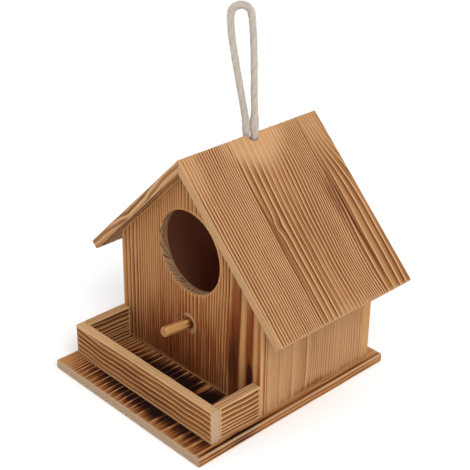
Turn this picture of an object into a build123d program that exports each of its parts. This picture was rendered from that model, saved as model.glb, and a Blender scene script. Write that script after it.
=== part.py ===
"""Hanging bird feeder: a gabled wooden house on a wide base board, with a tray, a perch and a rope loop.

Origin at the middle of the base board's underside, +Z up, the entrance faces -Y. Millimetres.
Every piece is a separate solid, as the feeder would come apart on a bench.
"""

import math
import os

from build123d import *

# Driving dimensions
BOARD = 8.0  # thickness of every board
ARRIS = 0.8  # sanded edges

BASE_WIDTH = 171.0
BASE_DEPTH = 200.0
BASE_MARGIN_BACK = 12.0  # base board behind the back wall

HOUSE_WIDTH = 160.0
HOUSE_DEPTH = 122.0  # front wall's face to back wall's face

ROOF_PITCH = 45.0
ROOF_SLOPE = 152.5  # ridge to eave, on the outer face
ROOF_FRONT_OVERHANG = 9.0  # past the front wall; the back edge is flush with the base board
RIDGE_HEIGHT = 194.6  # outer ridge above the underside of the base board

ENTRANCE_DIAMETER = 67.0
ENTRANCE_X = 1.1
ENTRANCE_HEIGHT = 116.5

TRAY_DEPTH = 49.0  # front wall's face to the front rail's face
TRAY_HEIGHT = 28.5

PERCH_DIAMETER = 8.5
PERCH_REACH = 25.5  # past the front wall
PERCH_INSIDE = 3.0  # past the wall's inner face
PERCH_HEIGHT = 54.0
PERCH_TILT = 6.0
PERCH_SINK_DIAMETER = 14.0  # mouth of the countersink that the perch stands in

CORD_DIAMETER = 5.5
CORD_HOLE_DIAMETER = 11.7
CORD_HOLE = (-1.4, 30.2)
CORD_SPACING = 5.9  # between the middles of the two runs in the hole
LOOP_TURN = 50.0  # from the X axis to the loop's upright plane
PIVOT_RISE = 3.4  # the loop flops over about a line this far above the ridge
KNOT_DIAMETER = 19.0
KNOT_TAIL = 13.0  # loose ends below the knot
SOFT_GAP = 0.3  # the knot stays this far off the roof

BRAD_DIAMETER = 1.2
BRAD_LENGTH = 19.0
BRAD_SET = 1.0  # brads are punched this far below the surface

# Places worked out from them
BASE_TOP = BOARD
BASE_BACK = BASE_DEPTH / 2
HOUSE_BACK = BASE_BACK - BASE_MARGIN_BACK
HOUSE_FRONT = HOUSE_BACK - HOUSE_DEPTH
TRAY_FRONT = HOUSE_FRONT - TRAY_DEPTH
ROOF_FRONT = HOUSE_FRONT - ROOF_FRONT_OVERHANG
ROOF_BACK = BASE_BACK
ROOF_DROP = BOARD / math.cos(math.radians(ROOF_PITCH))  # the roof's thickness, measured upright
RISE = math.tan(math.radians(ROOF_PITCH))
UNDER_RIDGE = RIDGE_HEIGHT - ROOF_DROP  # underside of the roof at the ridge
EAVE_X = ROOF_SLOPE * math.cos(math.radians(ROOF_PITCH))
EAVE_HEIGHT = RIDGE_HEIGHT - ROOF_SLOPE * math.sin(math.radians(ROOF_PITCH))
EAVE_UNDER_X = EAVE_X - BOARD * math.sin(math.radians(ROOF_PITCH))  # inner corner of the eave's square edge
EAVE_UNDER_HEIGHT = EAVE_HEIGHT - BOARD * math.cos(math.radians(ROOF_PITCH))
WALL_X = HOUSE_WIDTH / 2
WALL_MIDDLE_X = WALL_X - BOARD / 2
PIVOT_HEIGHT = RIDGE_HEIGHT + PIVOT_RISE

# Middle line of the standing loop: (distance from the hole's middle, z), from one end to the other
LOOP_ROUTE = [
    (-CORD_SPACING / 2, PIVOT_HEIGHT),
    (-3.7, 206.0),
    (-7.7, 228.0),
    (-12.6, 256.0),
    (-15.3, 274.0),
    (-15.7, 287.5),
    (-12.8, 291.5),
    (-8.1, 293.0),
    (-3.4, 291.5),
    (-0.5, 287.5),
    (1.0, 272.0),
    (2.0, 250.0),
    (2.4, 226.0),
    (3.2, 206.0),
    (CORD_SPACING / 2, PIVOT_HEIGHT),
]


def beside_hole(distance):
    """The point on the level at this distance from the hole's middle, in the loop's plane."""
    turn = math.radians(LOOP_TURN)
    return CORD_HOLE[0] + distance * math.cos(turn), CORD_HOLE[1] + distance * math.sin(turn)


def roof_top(x):
    """Height of the roof's outer face above the point x."""
    return RIDGE_HEIGHT - abs(x) * RISE


def board(low, high):
    """A board with sanded edges, from its low corner to its high corner."""
    size = [b - a for a, b in zip(low, high)]
    middle = [(a + b) / 2 for a, b in zip(low, high)]
    with BuildPart(Plane(middle)) as block:
        Box(*size)
        fillet(block.edges(), ARRIS)
    return block.part


def brads(seats):
    """Headless brads and their holes. Each seat is a plane on the wood, and its normal points out."""
    hung_by_its_top = (Align.CENTER, Align.CENTER, Align.MAX)
    with BuildPart() as pins:
        with Locations(*[seat.offset(-BRAD_SET) for seat in seats]):
            Cylinder(BRAD_DIAMETER / 2, BRAD_LENGTH, align=hung_by_its_top)
    with BuildPart() as holes:
        with Locations(*[seat.offset(BRAD_SET) for seat in seats]):
            Cylinder(BRAD_DIAMETER / 2, BRAD_LENGTH + 2 * BRAD_SET, align=hung_by_its_top)
    return pins, holes


def gable_wall(face_y):
    """A wall with its front at y = face_y: straight sides up to the roof, then the roof's own pitch."""
    eaves = UNDER_RIDGE - WALL_X * RISE
    with BuildPart() as wall:
        with BuildSketch(Plane.XZ.offset(-face_y)):
            Polygon(
                (-WALL_X, BASE_TOP),
                (WALL_X, BASE_TOP),
                (WALL_X, eaves),
                (0, UNDER_RIDGE),
                (-WALL_X, eaves),
                align=None,
            )
        extrude(amount=-BOARD)
    return wall.part


def facing_front(x, z, y):
    return Plane((x, y, z), x_dir=(1, 0, 0), z_dir=(0, -1, 0))


def facing_back(x, z, y):
    return Plane((x, y, z), x_dir=(1, 0, 0), z_dir=(0, 1, 0))


def facing_up(x, y):
    return Plane((x, y, roof_top(x)))


def facing_down(x, y):
    return Plane((x, y, 0), x_dir=(1, 0, 0), z_dir=(0, 0, -1))


# Brads, by the joint that they hold
SIDE_HEIGHTS = (20.0, 58.0, 94.0)
front_wall_brads, front_wall_holes = brads(
    [facing_front(side * WALL_MIDDLE_X, z, HOUSE_FRONT) for side in (-1, 1) for z in SIDE_HEIGHTS]
)
back_wall_brads, back_wall_holes = brads(
    [facing_back(side * WALL_MIDDLE_X, z, HOUSE_BACK) for side in (-1, 1) for z in SIDE_HEIGHTS]
)
tray_corner_brads, tray_corner_holes = brads(
    [facing_front(side * WALL_MIDDLE_X, z, TRAY_FRONT) for side in (-1, 1) for z in (16.0, 28.0)]
)
base_wall_brads, base_wall_holes = brads(
    [facing_down(side * WALL_MIDDLE_X, y) for side in (-1, 1) for y in (0.0, 55.0)]
    + [facing_down(x, y) for x in (-45.0, 45.0) for y in (HOUSE_FRONT + BOARD / 2, HOUSE_BACK - BOARD / 2)]
)
base_tray_brads, base_tray_holes = brads(
    [facing_down(x, TRAY_FRONT + BOARD / 2) for x in (-50.0, 0.0, 50.0)]
    + [facing_down(side * WALL_MIDDLE_X, HOUSE_FRONT - 14.0) for side in (-1, 1)]
)


def roof_seats(side):
    """Brads go straight down through one roof panel, into both gables and the side wall."""
    gables = [(x, y) for x in (14.0, 62.0) for y in (HOUSE_FRONT + BOARD / 2, HOUSE_BACK - BOARD / 2)]
    return [facing_up(side * x, y) for x, y in gables + [(WALL_MIDDLE_X, 5.0), (WALL_MIDDLE_X, 50.0)]]


left_roof_brads, left_roof_holes = brads(roof_seats(-1))
right_roof_brads, right_roof_holes = brads(roof_seats(1))

# Ridge brads go through the left panel into the right one's mitre, along the right one's slope
RIDGE_SEAT_X = -BOARD / 2 * math.sin(math.radians(ROOF_PITCH))
ridge_brads, ridge_holes = brads(
    [
        Plane((RIDGE_SEAT_X, y, roof_top(RIDGE_SEAT_X)), x_dir=(0, 1, 0), z_dir=(-1, 0, 1))
        for y in (-15.0, 8.0, 50.0, 72.0)
    ]
)

# Base board
with BuildPart() as base_board:
    add(board((-BASE_WIDTH / 2, -BASE_DEPTH / 2, 0), (BASE_WIDTH / 2, BASE_DEPTH / 2, BASE_TOP)))
    add(base_wall_holes.part, mode=Mode.SUBTRACT)
    add(base_tray_holes.part, mode=Mode.SUBTRACT)

# Side walls stand between the two gables, and their tops are planed to the roof's pitch
INNER_TOP = UNDER_RIDGE - (WALL_X - BOARD) * RISE
OUTER_TOP = UNDER_RIDGE - WALL_X * RISE


def side_wall(side):
    with BuildPart() as wall:
        with BuildSketch(Plane.XZ.offset(-(HOUSE_FRONT + BOARD))):
            Polygon(
                (side * (WALL_X - BOARD), BASE_TOP),
                (side * WALL_X, BASE_TOP),
                (side * WALL_X, OUTER_TOP),
                (side * (WALL_X - BOARD), INNER_TOP),
                align=None,
            )
        extrude(amount=-(HOUSE_DEPTH - 2 * BOARD))
        for holes in (front_wall_holes, back_wall_holes, base_wall_holes, left_roof_holes, right_roof_holes):
            add(holes.part, mode=Mode.SUBTRACT)
    return wall


left_wall = side_wall(-1)
right_wall = side_wall(1)

# Perch: a dowel glued into a hole through the front wall, tipped up a little
perch_seat = facing_front(0, PERCH_HEIGHT, HOUSE_FRONT).rotated((-PERCH_TILT, 0, 0))
with BuildPart() as perch:
    with BuildSketch(perch_seat.offset(-(BOARD + PERCH_INSIDE))):
        Circle(PERCH_DIAMETER / 2)
    extrude(amount=BOARD + PERCH_INSIDE + PERCH_REACH)
    chamfer(perch.edges().filter_by(GeomType.CIRCLE), ARRIS)

# Front wall
with BuildPart() as front_wall:
    add(gable_wall(HOUSE_FRONT))
    with BuildSketch(Plane.XZ.offset(-HOUSE_FRONT)):
        with Locations((ENTRANCE_X, ENTRANCE_HEIGHT)):
            Circle(ENTRANCE_DIAMETER / 2)
    extrude(amount=-BOARD, mode=Mode.SUBTRACT)
    chamfer(front_wall.edges().filter_by(GeomType.CIRCLE), ARRIS / 2)
    with Locations(perch_seat):
        CounterSinkHole(PERCH_DIAMETER / 2, PERCH_SINK_DIAMETER / 2, counter_sink_angle=90)
    for holes in (front_wall_holes, base_wall_holes, left_roof_holes, right_roof_holes):
        add(holes.part, mode=Mode.SUBTRACT)

# Back wall
with BuildPart() as back_wall:
    add(gable_wall(HOUSE_BACK - BOARD))
    for holes in (back_wall_holes, base_wall_holes, left_roof_holes, right_roof_holes):
        add(holes.part, mode=Mode.SUBTRACT)


# Roof panels meet in a mitre at the ridge, with one hole for the cord drilled straight down through both
def roof_panel(side, holes):
    with BuildPart() as panel:
        with BuildSketch(Plane.XZ.offset(-ROOF_FRONT)):
            Polygon(
                (0, UNDER_RIDGE),
                (0, RIDGE_HEIGHT),
                (side * EAVE_X, EAVE_HEIGHT),
                (side * EAVE_UNDER_X, EAVE_UNDER_HEIGHT),
                align=None,
            )
        extrude(amount=-(ROOF_BACK - ROOF_FRONT))
        fillet(panel.faces().sort_by(Axis.Z)[0].edges(), ARRIS)
        with Locations((*CORD_HOLE, UNDER_RIDGE)):
            Cylinder(CORD_HOLE_DIAMETER / 2, 4 * ROOF_DROP, mode=Mode.SUBTRACT)
        add(holes.part, mode=Mode.SUBTRACT)
        add(ridge_holes.part, mode=Mode.SUBTRACT)
    return panel


left_roof_panel = roof_panel(-1, left_roof_holes)
right_roof_panel = roof_panel(1, right_roof_holes)

# Tray rails: the front one runs across the ends of the side ones
with BuildPart() as tray_front_rail:
    add(board((-WALL_X, TRAY_FRONT, BASE_TOP), (WALL_X, TRAY_FRONT + BOARD, BASE_TOP + TRAY_HEIGHT)))
    add(tray_corner_holes.part, mode=Mode.SUBTRACT)
    add(base_tray_holes.part, mode=Mode.SUBTRACT)


def tray_side_rail(low_x):
    with BuildPart() as rail:
        high = (low_x + BOARD, HOUSE_FRONT, BASE_TOP + TRAY_HEIGHT)
        add(board((low_x, TRAY_FRONT + BOARD, BASE_TOP), high))
        add(tray_corner_holes.part, mode=Mode.SUBTRACT)
        add(base_tray_holes.part, mode=Mode.SUBTRACT)
    return rail


tray_left_rail = tray_side_rail(-WALL_X)
tray_right_rail = tray_side_rail(WALL_X - BOARD)

# Hanging cord: the standing loop, its two runs down the ridge hole, and the knot that stops it
loop_points = [Vector(*beside_hole(distance), z) for distance, z in LOOP_ROUTE]
runs = [b - a for a, b in zip(loop_points, loop_points[1:])]
half_turns = [math.radians(a.get_angle(b)) / 2 for a, b in zip(runs, runs[1:])]
shorter_runs = [min(a.length, b.length) for a, b in zip(runs, runs[1:])]
radii = [0.45 * run / math.tan(half_turn) for run, half_turn in zip(shorter_runs, half_turns)]
with BuildPart() as hanging_cord:
    with BuildLine() as loop_line:
        FilletPolyline(*loop_points, radius=radii)
    with BuildSketch(Plane(loop_points[0], z_dir=runs[0])):
        Circle(CORD_DIAMETER / 2)
    sweep(path=loop_line.line)

KNOT_HEIGHT = UNDER_RIDGE - (KNOT_DIAMETER / 2 + SOFT_GAP) / math.cos(math.radians(ROOF_PITCH))
TAIL_TOP = PIVOT_HEIGHT - CORD_DIAMETER / 2 - 2 * SOFT_GAP
run_places = [beside_hole(-CORD_SPACING / 2), beside_hole(CORD_SPACING / 2)]
with BuildPart() as cord_runs:
    with BuildSketch(Plane.XY.offset(KNOT_HEIGHT + KNOT_DIAMETER / 4)):
        with Locations(*run_places):
            Circle(CORD_DIAMETER / 2)
    extrude(amount=TAIL_TOP - KNOT_HEIGHT - KNOT_DIAMETER / 4)

with BuildPart() as cord_knot:
    with Locations((0, CORD_HOLE[1], KNOT_HEIGHT)):
        Sphere(KNOT_DIAMETER / 2)
    with BuildSketch(Plane.XY.offset(KNOT_HEIGHT)):
        with Locations(*run_places):
            Circle(CORD_DIAMETER / 2)
    extrude(amount=-(KNOT_DIAMETER / 2 + KNOT_TAIL))
    add(cord_runs.part, mode=Mode.SUBTRACT)

for point, radius in zip(LOOP_ROUTE[1:-1], radii):
    print(f"loop corner {point}: arc radius {radius:.1f}")
section = math.pi * CORD_DIAMETER**2 / 4
loop_length = sum(edge.length for edge in loop_line.edges())
print(f"loop length {loop_length:.1f}, volume {hanging_cord.part.volume:.0f}")
print(f"section times length {section * loop_length:.0f}")

PIECES = {
    "base_board": base_board,
    "front_wall": front_wall,
    "back_wall": back_wall,
    "left_wall": left_wall,
    "right_wall": right_wall,
    "left_roof_panel": left_roof_panel,
    "right_roof_panel": right_roof_panel,
    "tray_front_rail": tray_front_rail,
    "tray_left_rail": tray_left_rail,
    "tray_right_rail": tray_right_rail,
    "perch": perch,
    "hanging_cord": hanging_cord,
    "cord_runs": cord_runs,
    "cord_knot": cord_knot,
    "front_wall_brads": front_wall_brads,
    "back_wall_brads": back_wall_brads,
    "base_wall_brads": base_wall_brads,
    "base_tray_brads": base_tray_brads,
    "tray_corner_brads": tray_corner_brads,
    "left_roof_brads": left_roof_brads,
    "right_roof_brads": right_roof_brads,
    "ridge_brads": ridge_brads,
}

os.makedirs("parts", exist_ok=True)
for name, piece in PIECES.items():
    piece.part.label = name
    export_step(piece.part, f"parts/{name}.step")
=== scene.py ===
"""Hanging bird feeder: the finish of every piece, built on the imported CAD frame.

The feeder is a gabled house of scorched and brushed pine boards on a wide base board, with a railed tray, a
perch and a loop of twisted cotton rope. Each board is a closed lattice whose growth rings are one field in
space: the field gives the brushed relief, the lines on the faces and the lines on the end grain.
Everything is in metres, in the CAD frame.
"""

import logging
import math
from collections.abc import Callable
from dataclasses import dataclass, field
from enum import Enum

import bmesh
import bpy
import numpy as np
from mathutils import Matrix, Vector


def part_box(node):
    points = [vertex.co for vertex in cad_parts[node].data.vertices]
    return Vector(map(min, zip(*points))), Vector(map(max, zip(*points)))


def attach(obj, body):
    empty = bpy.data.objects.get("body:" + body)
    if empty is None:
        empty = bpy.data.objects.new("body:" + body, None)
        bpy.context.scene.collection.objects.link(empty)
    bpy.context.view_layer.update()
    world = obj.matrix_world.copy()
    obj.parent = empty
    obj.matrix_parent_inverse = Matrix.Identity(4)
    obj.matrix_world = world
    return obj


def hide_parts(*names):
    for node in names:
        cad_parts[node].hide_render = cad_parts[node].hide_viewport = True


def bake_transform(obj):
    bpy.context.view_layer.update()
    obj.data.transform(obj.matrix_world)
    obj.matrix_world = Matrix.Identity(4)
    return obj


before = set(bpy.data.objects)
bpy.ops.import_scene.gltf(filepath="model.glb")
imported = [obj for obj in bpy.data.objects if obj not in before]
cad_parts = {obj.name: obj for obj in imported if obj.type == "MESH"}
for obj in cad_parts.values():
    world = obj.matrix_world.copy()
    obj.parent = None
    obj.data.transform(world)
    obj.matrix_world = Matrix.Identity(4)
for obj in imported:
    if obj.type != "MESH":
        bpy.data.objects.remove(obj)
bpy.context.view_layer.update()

LOG = logging.getLogger("bird_feeder")
Array = np.ndarray
Colour = tuple[float, float, float]
Plug = bpy.types.NodeSocket
X, Y, Z = np.eye(3)

# Bodies of the frame.
HOUSE = "house"

# Where the rope's hole passes through the ridge, and how high the perch leaves the front wall.
ROPE_HOLE = (-0.0014, 0.0302)
PERCH_HEIGHT = 0.054
# Less than any real distance or share here: only rounding errors are this small.
HAIR = 1e-9


class Slot(Enum):
    """Material slots of the record, named in the log beside each piece."""

    WALLS = "brushed_pine_walls"
    ROOF = "brushed_pine_roof"
    RAILS = "brushed_pine_rails"
    BASE = "charred_pine_base"
    PERCH = "perch_dowel"
    ROPE = "cotton_rope"
    BRADS = "brad_steel"


# ---------------------------------------------------------------- helpers


def node_box(node: str) -> tuple[Array, Array]:
    """Low and high corners of a CAD node as arrays."""
    low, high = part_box(node)
    return np.array(low, float), np.array(high, float)


def linear(red: int, green: int, blue: int) -> tuple[float, float, float, float]:
    """A display colour, 0 to 255, as linear light with full alpha."""
    shares = (value / 255.0 for value in (red, green, blue))
    light = [s / 12.92 if s <= 0.04045 else ((s + 0.055) / 1.055) ** 2.4 for s in shares]
    return (*light, 1.0)


def smooth(low: float, high: float, value: Array) -> Array:
    """Smooth step: 0 at low, 1 at high, a cubic between them; low may be the greater."""
    t = np.clip((value - low) / (high - low), 0.0, 1.0)
    return t * t * (3.0 - 2.0 * t)


def wander(place: Array, reach: float, rng: np.random.Generator) -> Array:
    """A slow random line between about -1 and 1: four sines of random phase, each 1.6 times shorter than the last
    and 0.55 times as high, over a divisor that brings their sum back to about one.

    Args:
        place: where along the line, in metres.
        reach: length of the slowest sine.
        rng: seeded source of the phases.

    Returns:
        The line's height at each place.
    """
    shorter, lower, divisor = 1.6, 0.55, 1.8
    total = np.zeros_like(place)
    for octave in range(4):
        turns = 2.0 * math.pi * (shorter**octave) / reach
        total = total + np.sin(place * turns + rng.uniform(0, 2 * math.pi)) * lower**octave
    return total / divisor


def make_mesh(name: str, points: Array, faces: Array, floats: dict[str, Array] | None = None) -> bpy.types.Object:
    """A smooth-shaded mesh object at the origin.

    Args:
        name: the piece's name.
        points: one row of x, y, z for each vertex.
        faces: one row of four vertex numbers for each face.
        floats: named values, one for each vertex, or one row of three.

    Returns:
        The object, linked to the scene.
    """
    mesh = bpy.data.meshes.new(name)
    mesh.vertices.add(len(points))
    mesh.vertices.foreach_set("co", np.ascontiguousarray(points, np.float32).ravel())
    mesh.loops.add(faces.size)
    mesh.loops.foreach_set("vertex_index", np.ascontiguousarray(faces, np.int32).ravel())
    mesh.polygons.add(len(faces))
    mesh.polygons.foreach_set("loop_start", np.arange(0, faces.size, faces.shape[1], dtype=np.int32))
    mesh.update(calc_edges=True)
    mesh.validate()
    mesh.polygons.foreach_set("use_smooth", np.ones(len(mesh.polygons), bool))
    for key, values in (floats or {}).items():
        kind, field_name = ("FLOAT_VECTOR", "vector") if values.ndim == 2 else ("FLOAT", "value")
        attribute = mesh.attributes.new(key, kind, "POINT")
        attribute.data.foreach_set(field_name, np.ascontiguousarray(values, np.float32).ravel())
    piece = bpy.data.objects.new(name, mesh)
    bpy.context.scene.collection.objects.link(piece)
    return piece


def soft_spot(along: Array, across: Array, place: "Swirl | Burn") -> Array:
    """How far each point is from the middle of an oval place, squared, where 1 is its reach."""
    return ((along - place.along) / place.reach_along) ** 2 + ((across - place.across) / place.reach_across) ** 2


def tube_faces(rows: int, columns: int) -> Array:
    """Quads round a tube whose points are numbered row by row, each row one turn."""
    ids = np.arange(rows * columns).reshape(rows, columns)
    wrapped = np.concatenate([ids, ids[:, :1]], 1)
    ring = (wrapped[:-1, :-1], wrapped[:-1, 1:], wrapped[1:, 1:], wrapped[1:, :-1])
    return np.stack(ring, -1).reshape(-1, 4)


def close_poles(piece: bpy.types.Object) -> None:
    """Merge the points that meet at a pole, so that the surface is closed."""
    shape = bmesh.new()
    shape.from_mesh(piece.data)
    bmesh.ops.remove_doubles(shape, verts=shape.verts, dist=1e-7)
    bmesh.ops.recalc_face_normals(shape, faces=shape.faces)
    shape.to_mesh(piece.data)
    shape.free()
    piece.data.update()


def finish_piece(
    piece: bpy.types.Object, material: bpy.types.Material, slot: Slot, *nodes: str
) -> bpy.types.Object:
    """Give a piece its material, hide the CAD nodes it stands for, and log it with the record's slot.

    Args:
        piece: the new piece.
        material: its finish.
        slot: the record's slot that the finish belongs to.
        nodes: CAD nodes that it stands for.

    Returns:
        The piece.
    """
    piece.data.materials.append(material)
    if nodes:
        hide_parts(*nodes)
    LOG.info("%s: %d faces, %s", piece.name, len(piece.data.polygons), slot.value)
    return piece


# ---------------------------------------------------------------- wood, as geometry


@dataclass(frozen=True)
class Swirl:
    """A place where the ring lines are pushed sideways, as beside a knot.

    along, across: its middle, in metres from the board's start and first edge.
    reach_along, reach_across: how far it is felt.
    push: how far the lines move at the middle.
    """

    along: float
    across: float
    reach_along: float
    reach_across: float
    push: float


@dataclass(frozen=True)
class Fan:
    """A place where ring lines past a line are drawn together and fan out again along the grain.

    along, reach: the place along the grain where they are closest, and how far that is felt.
    across: the first line that moves.
    rate: how much closer they stand, as a share.
    """

    along: float
    reach: float
    across: float
    rate: float


@dataclass(frozen=True)
class Growth:
    """Growth rings of one board.

    pitch: distance between rings, across the rings themselves.
    spacing: (share across the board, distance between ring lines on the face) from one edge to the other.
    sway, sway_reach: how far a line wanders across the board, and over what length.
    lean, tilt: metres across for each metre along, and for each metre of depth.
    swirls: places where the lines are pushed aside.
    fans: places where the lines are drawn together.
    ridge, flare: half width of a ring's hard ridge, and how much wider it shows where the rings lie flat.
    unevenness: how much the spacing varies from one ring to the next, as a share.
    seed: source of the random lines.
    """

    pitch: float
    spacing: tuple[tuple[float, float], ...]
    sway: float = 0.0012
    sway_reach: float = 0.11
    lean: float = 0.0
    tilt: float = 0.0
    swirls: tuple[Swirl, ...] = ()
    fans: tuple[Fan, ...] = ()
    ridge: float = 0.00062
    flare: float = 0.06
    unevenness: float = 0.16
    seed: int = 1

    def rings_at(self, along: Array, across: Array, depth: Array, breadth: float) -> tuple[Array, Array]:
        """Ring count and ring spacing at each point.

        The count on the face is the integral across the board of one over the spacing. Rings that show wide on
        the face lie flat in the board, so the count also grows with depth, by the root of 1/pitch^2 - 1/spacing^2.
        A slow line and a quicker, smaller one sway the rings, each a little askew so that neighbours differ.

        Args:
            along: metres from the board's start.
            across: metres from its first edge.
            depth: metres below its outer face.
            breadth: the board's breadth.

        Returns:
            The ring count, whole on a ring line, and the distance between lines on the face.
        """
        rng = np.random.default_rng(self.seed)
        moved = across + self.lean * along - self.tilt * depth
        slow = wander(along + 0.35 * across, self.sway_reach, rng)
        quick = wander(along - 0.6 * across, self.sway_reach * 0.4, rng)
        moved = moved + self.sway * (slow + 0.3 * quick)
        for swirl in self.swirls:
            moved = moved + swirl.push * np.exp(-soft_spot(along, across, swirl))
        for fan in self.fans:
            near = np.exp(-(((along - fan.along) / fan.reach) ** 2))
            moved = moved + fan.rate * near * np.maximum(across - fan.across, 0.0)
        beyond, samples, uneven_reach = 0.3, 3201, 0.014
        fine = np.linspace(-beyond, 1 + beyond, samples) * breadth
        shares, widths = zip(*self.spacing)
        gap = np.interp(fine / breadth, shares, widths) * (1 + self.unevenness * wander(fine, uneven_reach, rng))
        between = 0.5 * (1 / gap[1:] + 1 / gap[:-1])
        count = np.concatenate([[0.0], np.cumsum(np.diff(fine) * between)])
        rings = np.interp(moved, fine, count)
        width = np.interp(moved, fine, gap)
        inward = np.sqrt(np.maximum(1 / self.pitch**2 - 1 / np.maximum(width, self.pitch) ** 2, 0.0))
        return rings + depth * inward, width


@dataclass(frozen=True)
class Burn:
    """A scorched patch of a board: a soft oval of the given strength, negative where the wood stayed pale.

    Its strength falls off as e to the minus r cubed, where r is 1 at its reach, so it is flat in its middle.
    """

    along: float
    across: float
    reach_along: float
    reach_across: float
    strength: float

    def at(self, along: Array, across: Array) -> Array:
        """The scorch that it adds at each point."""
        return self.strength * np.exp(-(soft_spot(along, across, self) ** 1.5))


@dataclass(frozen=True)
class Blank:
    """The plain shape of a board, before rings and relief.

    origin: its first corner, on the outer face.
    along, across, inward: unit directions of the grain, the breadth and the thickness.
    length, breadth, thickness: nominal sizes.
    start, end: where the board begins and ends along the grain, from (across, depth).
    """

    origin: Array
    along: Array
    across: Array
    inward: Array
    length: float
    breadth: float
    thickness: float
    start: Callable[[Array, Array], Array]
    end: Callable[[Array, Array], Array]


@dataclass(frozen=True)
class Bore:
    """A round hole through a board: its middle along and across, its radius and its rim's chamfer."""

    along: float
    across: float
    radius: float
    chamfer: float

    def half_length(self, across: Array, depth: Array, thickness: float) -> Array:
        """Half the hole's length along the grain: the chord of a circle that widens at both faces."""
        near_face = np.minimum(depth, thickness - depth)
        radius = self.radius + np.maximum(self.chamfer - near_face, 0.0)
        return np.sqrt(np.maximum(radius**2 - (across - self.across) ** 2, 0.0))


@dataclass(frozen=True)
class Sink:
    """A countersink in a board's outer face: its middle along and across, its mouth's radius and its depth."""

    along: float
    across: float
    mouth: float
    deep: float

    def dressed(self, along: Array, across: Array) -> tuple[Array, Array, Array]:
        """The dish and its marks: a smooth step down inside the mouth, a pale ring of bare wood round it with
        painted light brightest on its upper right, and a dark floor of scorch and painted shade round the dowel.

        Args:
            along, across: places on the outer face.

        Returns:
            How far the face dips, how bare the ring is, with painted light making it strongest on its upper right
            side, and the floor's scorch with painted shade.
        """
        floor, floor_scorch_and_shade = 0.6, 0.4
        radius = np.hypot(along - self.along, across - self.across) / self.mouth
        # The ring's bareness grows towards the upper right as painted light; the floor round the dowel is scorch
        # darkened further as painted shade.
        upper_right = (across - self.across + 0.5 * (along - self.along)) / self.mouth
        ring = smooth(0.58, 0.64, radius) * (1 - smooth(1.12, 1.35, radius))
        dip = self.deep * smooth(1.0, floor, radius)
        return dip, np.clip(0.55 + upper_right, 0.0, 1.0) * ring, floor_scorch_and_shade * (1 - smooth(floor, 0.7, radius))


class Relief(Enum):
    """How deep the brush has cut the soft wood between ring lines, in metres."""

    LIGHT = 0.00014
    MEDIUM = 0.00024
    DEEP = 0.00034


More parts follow.
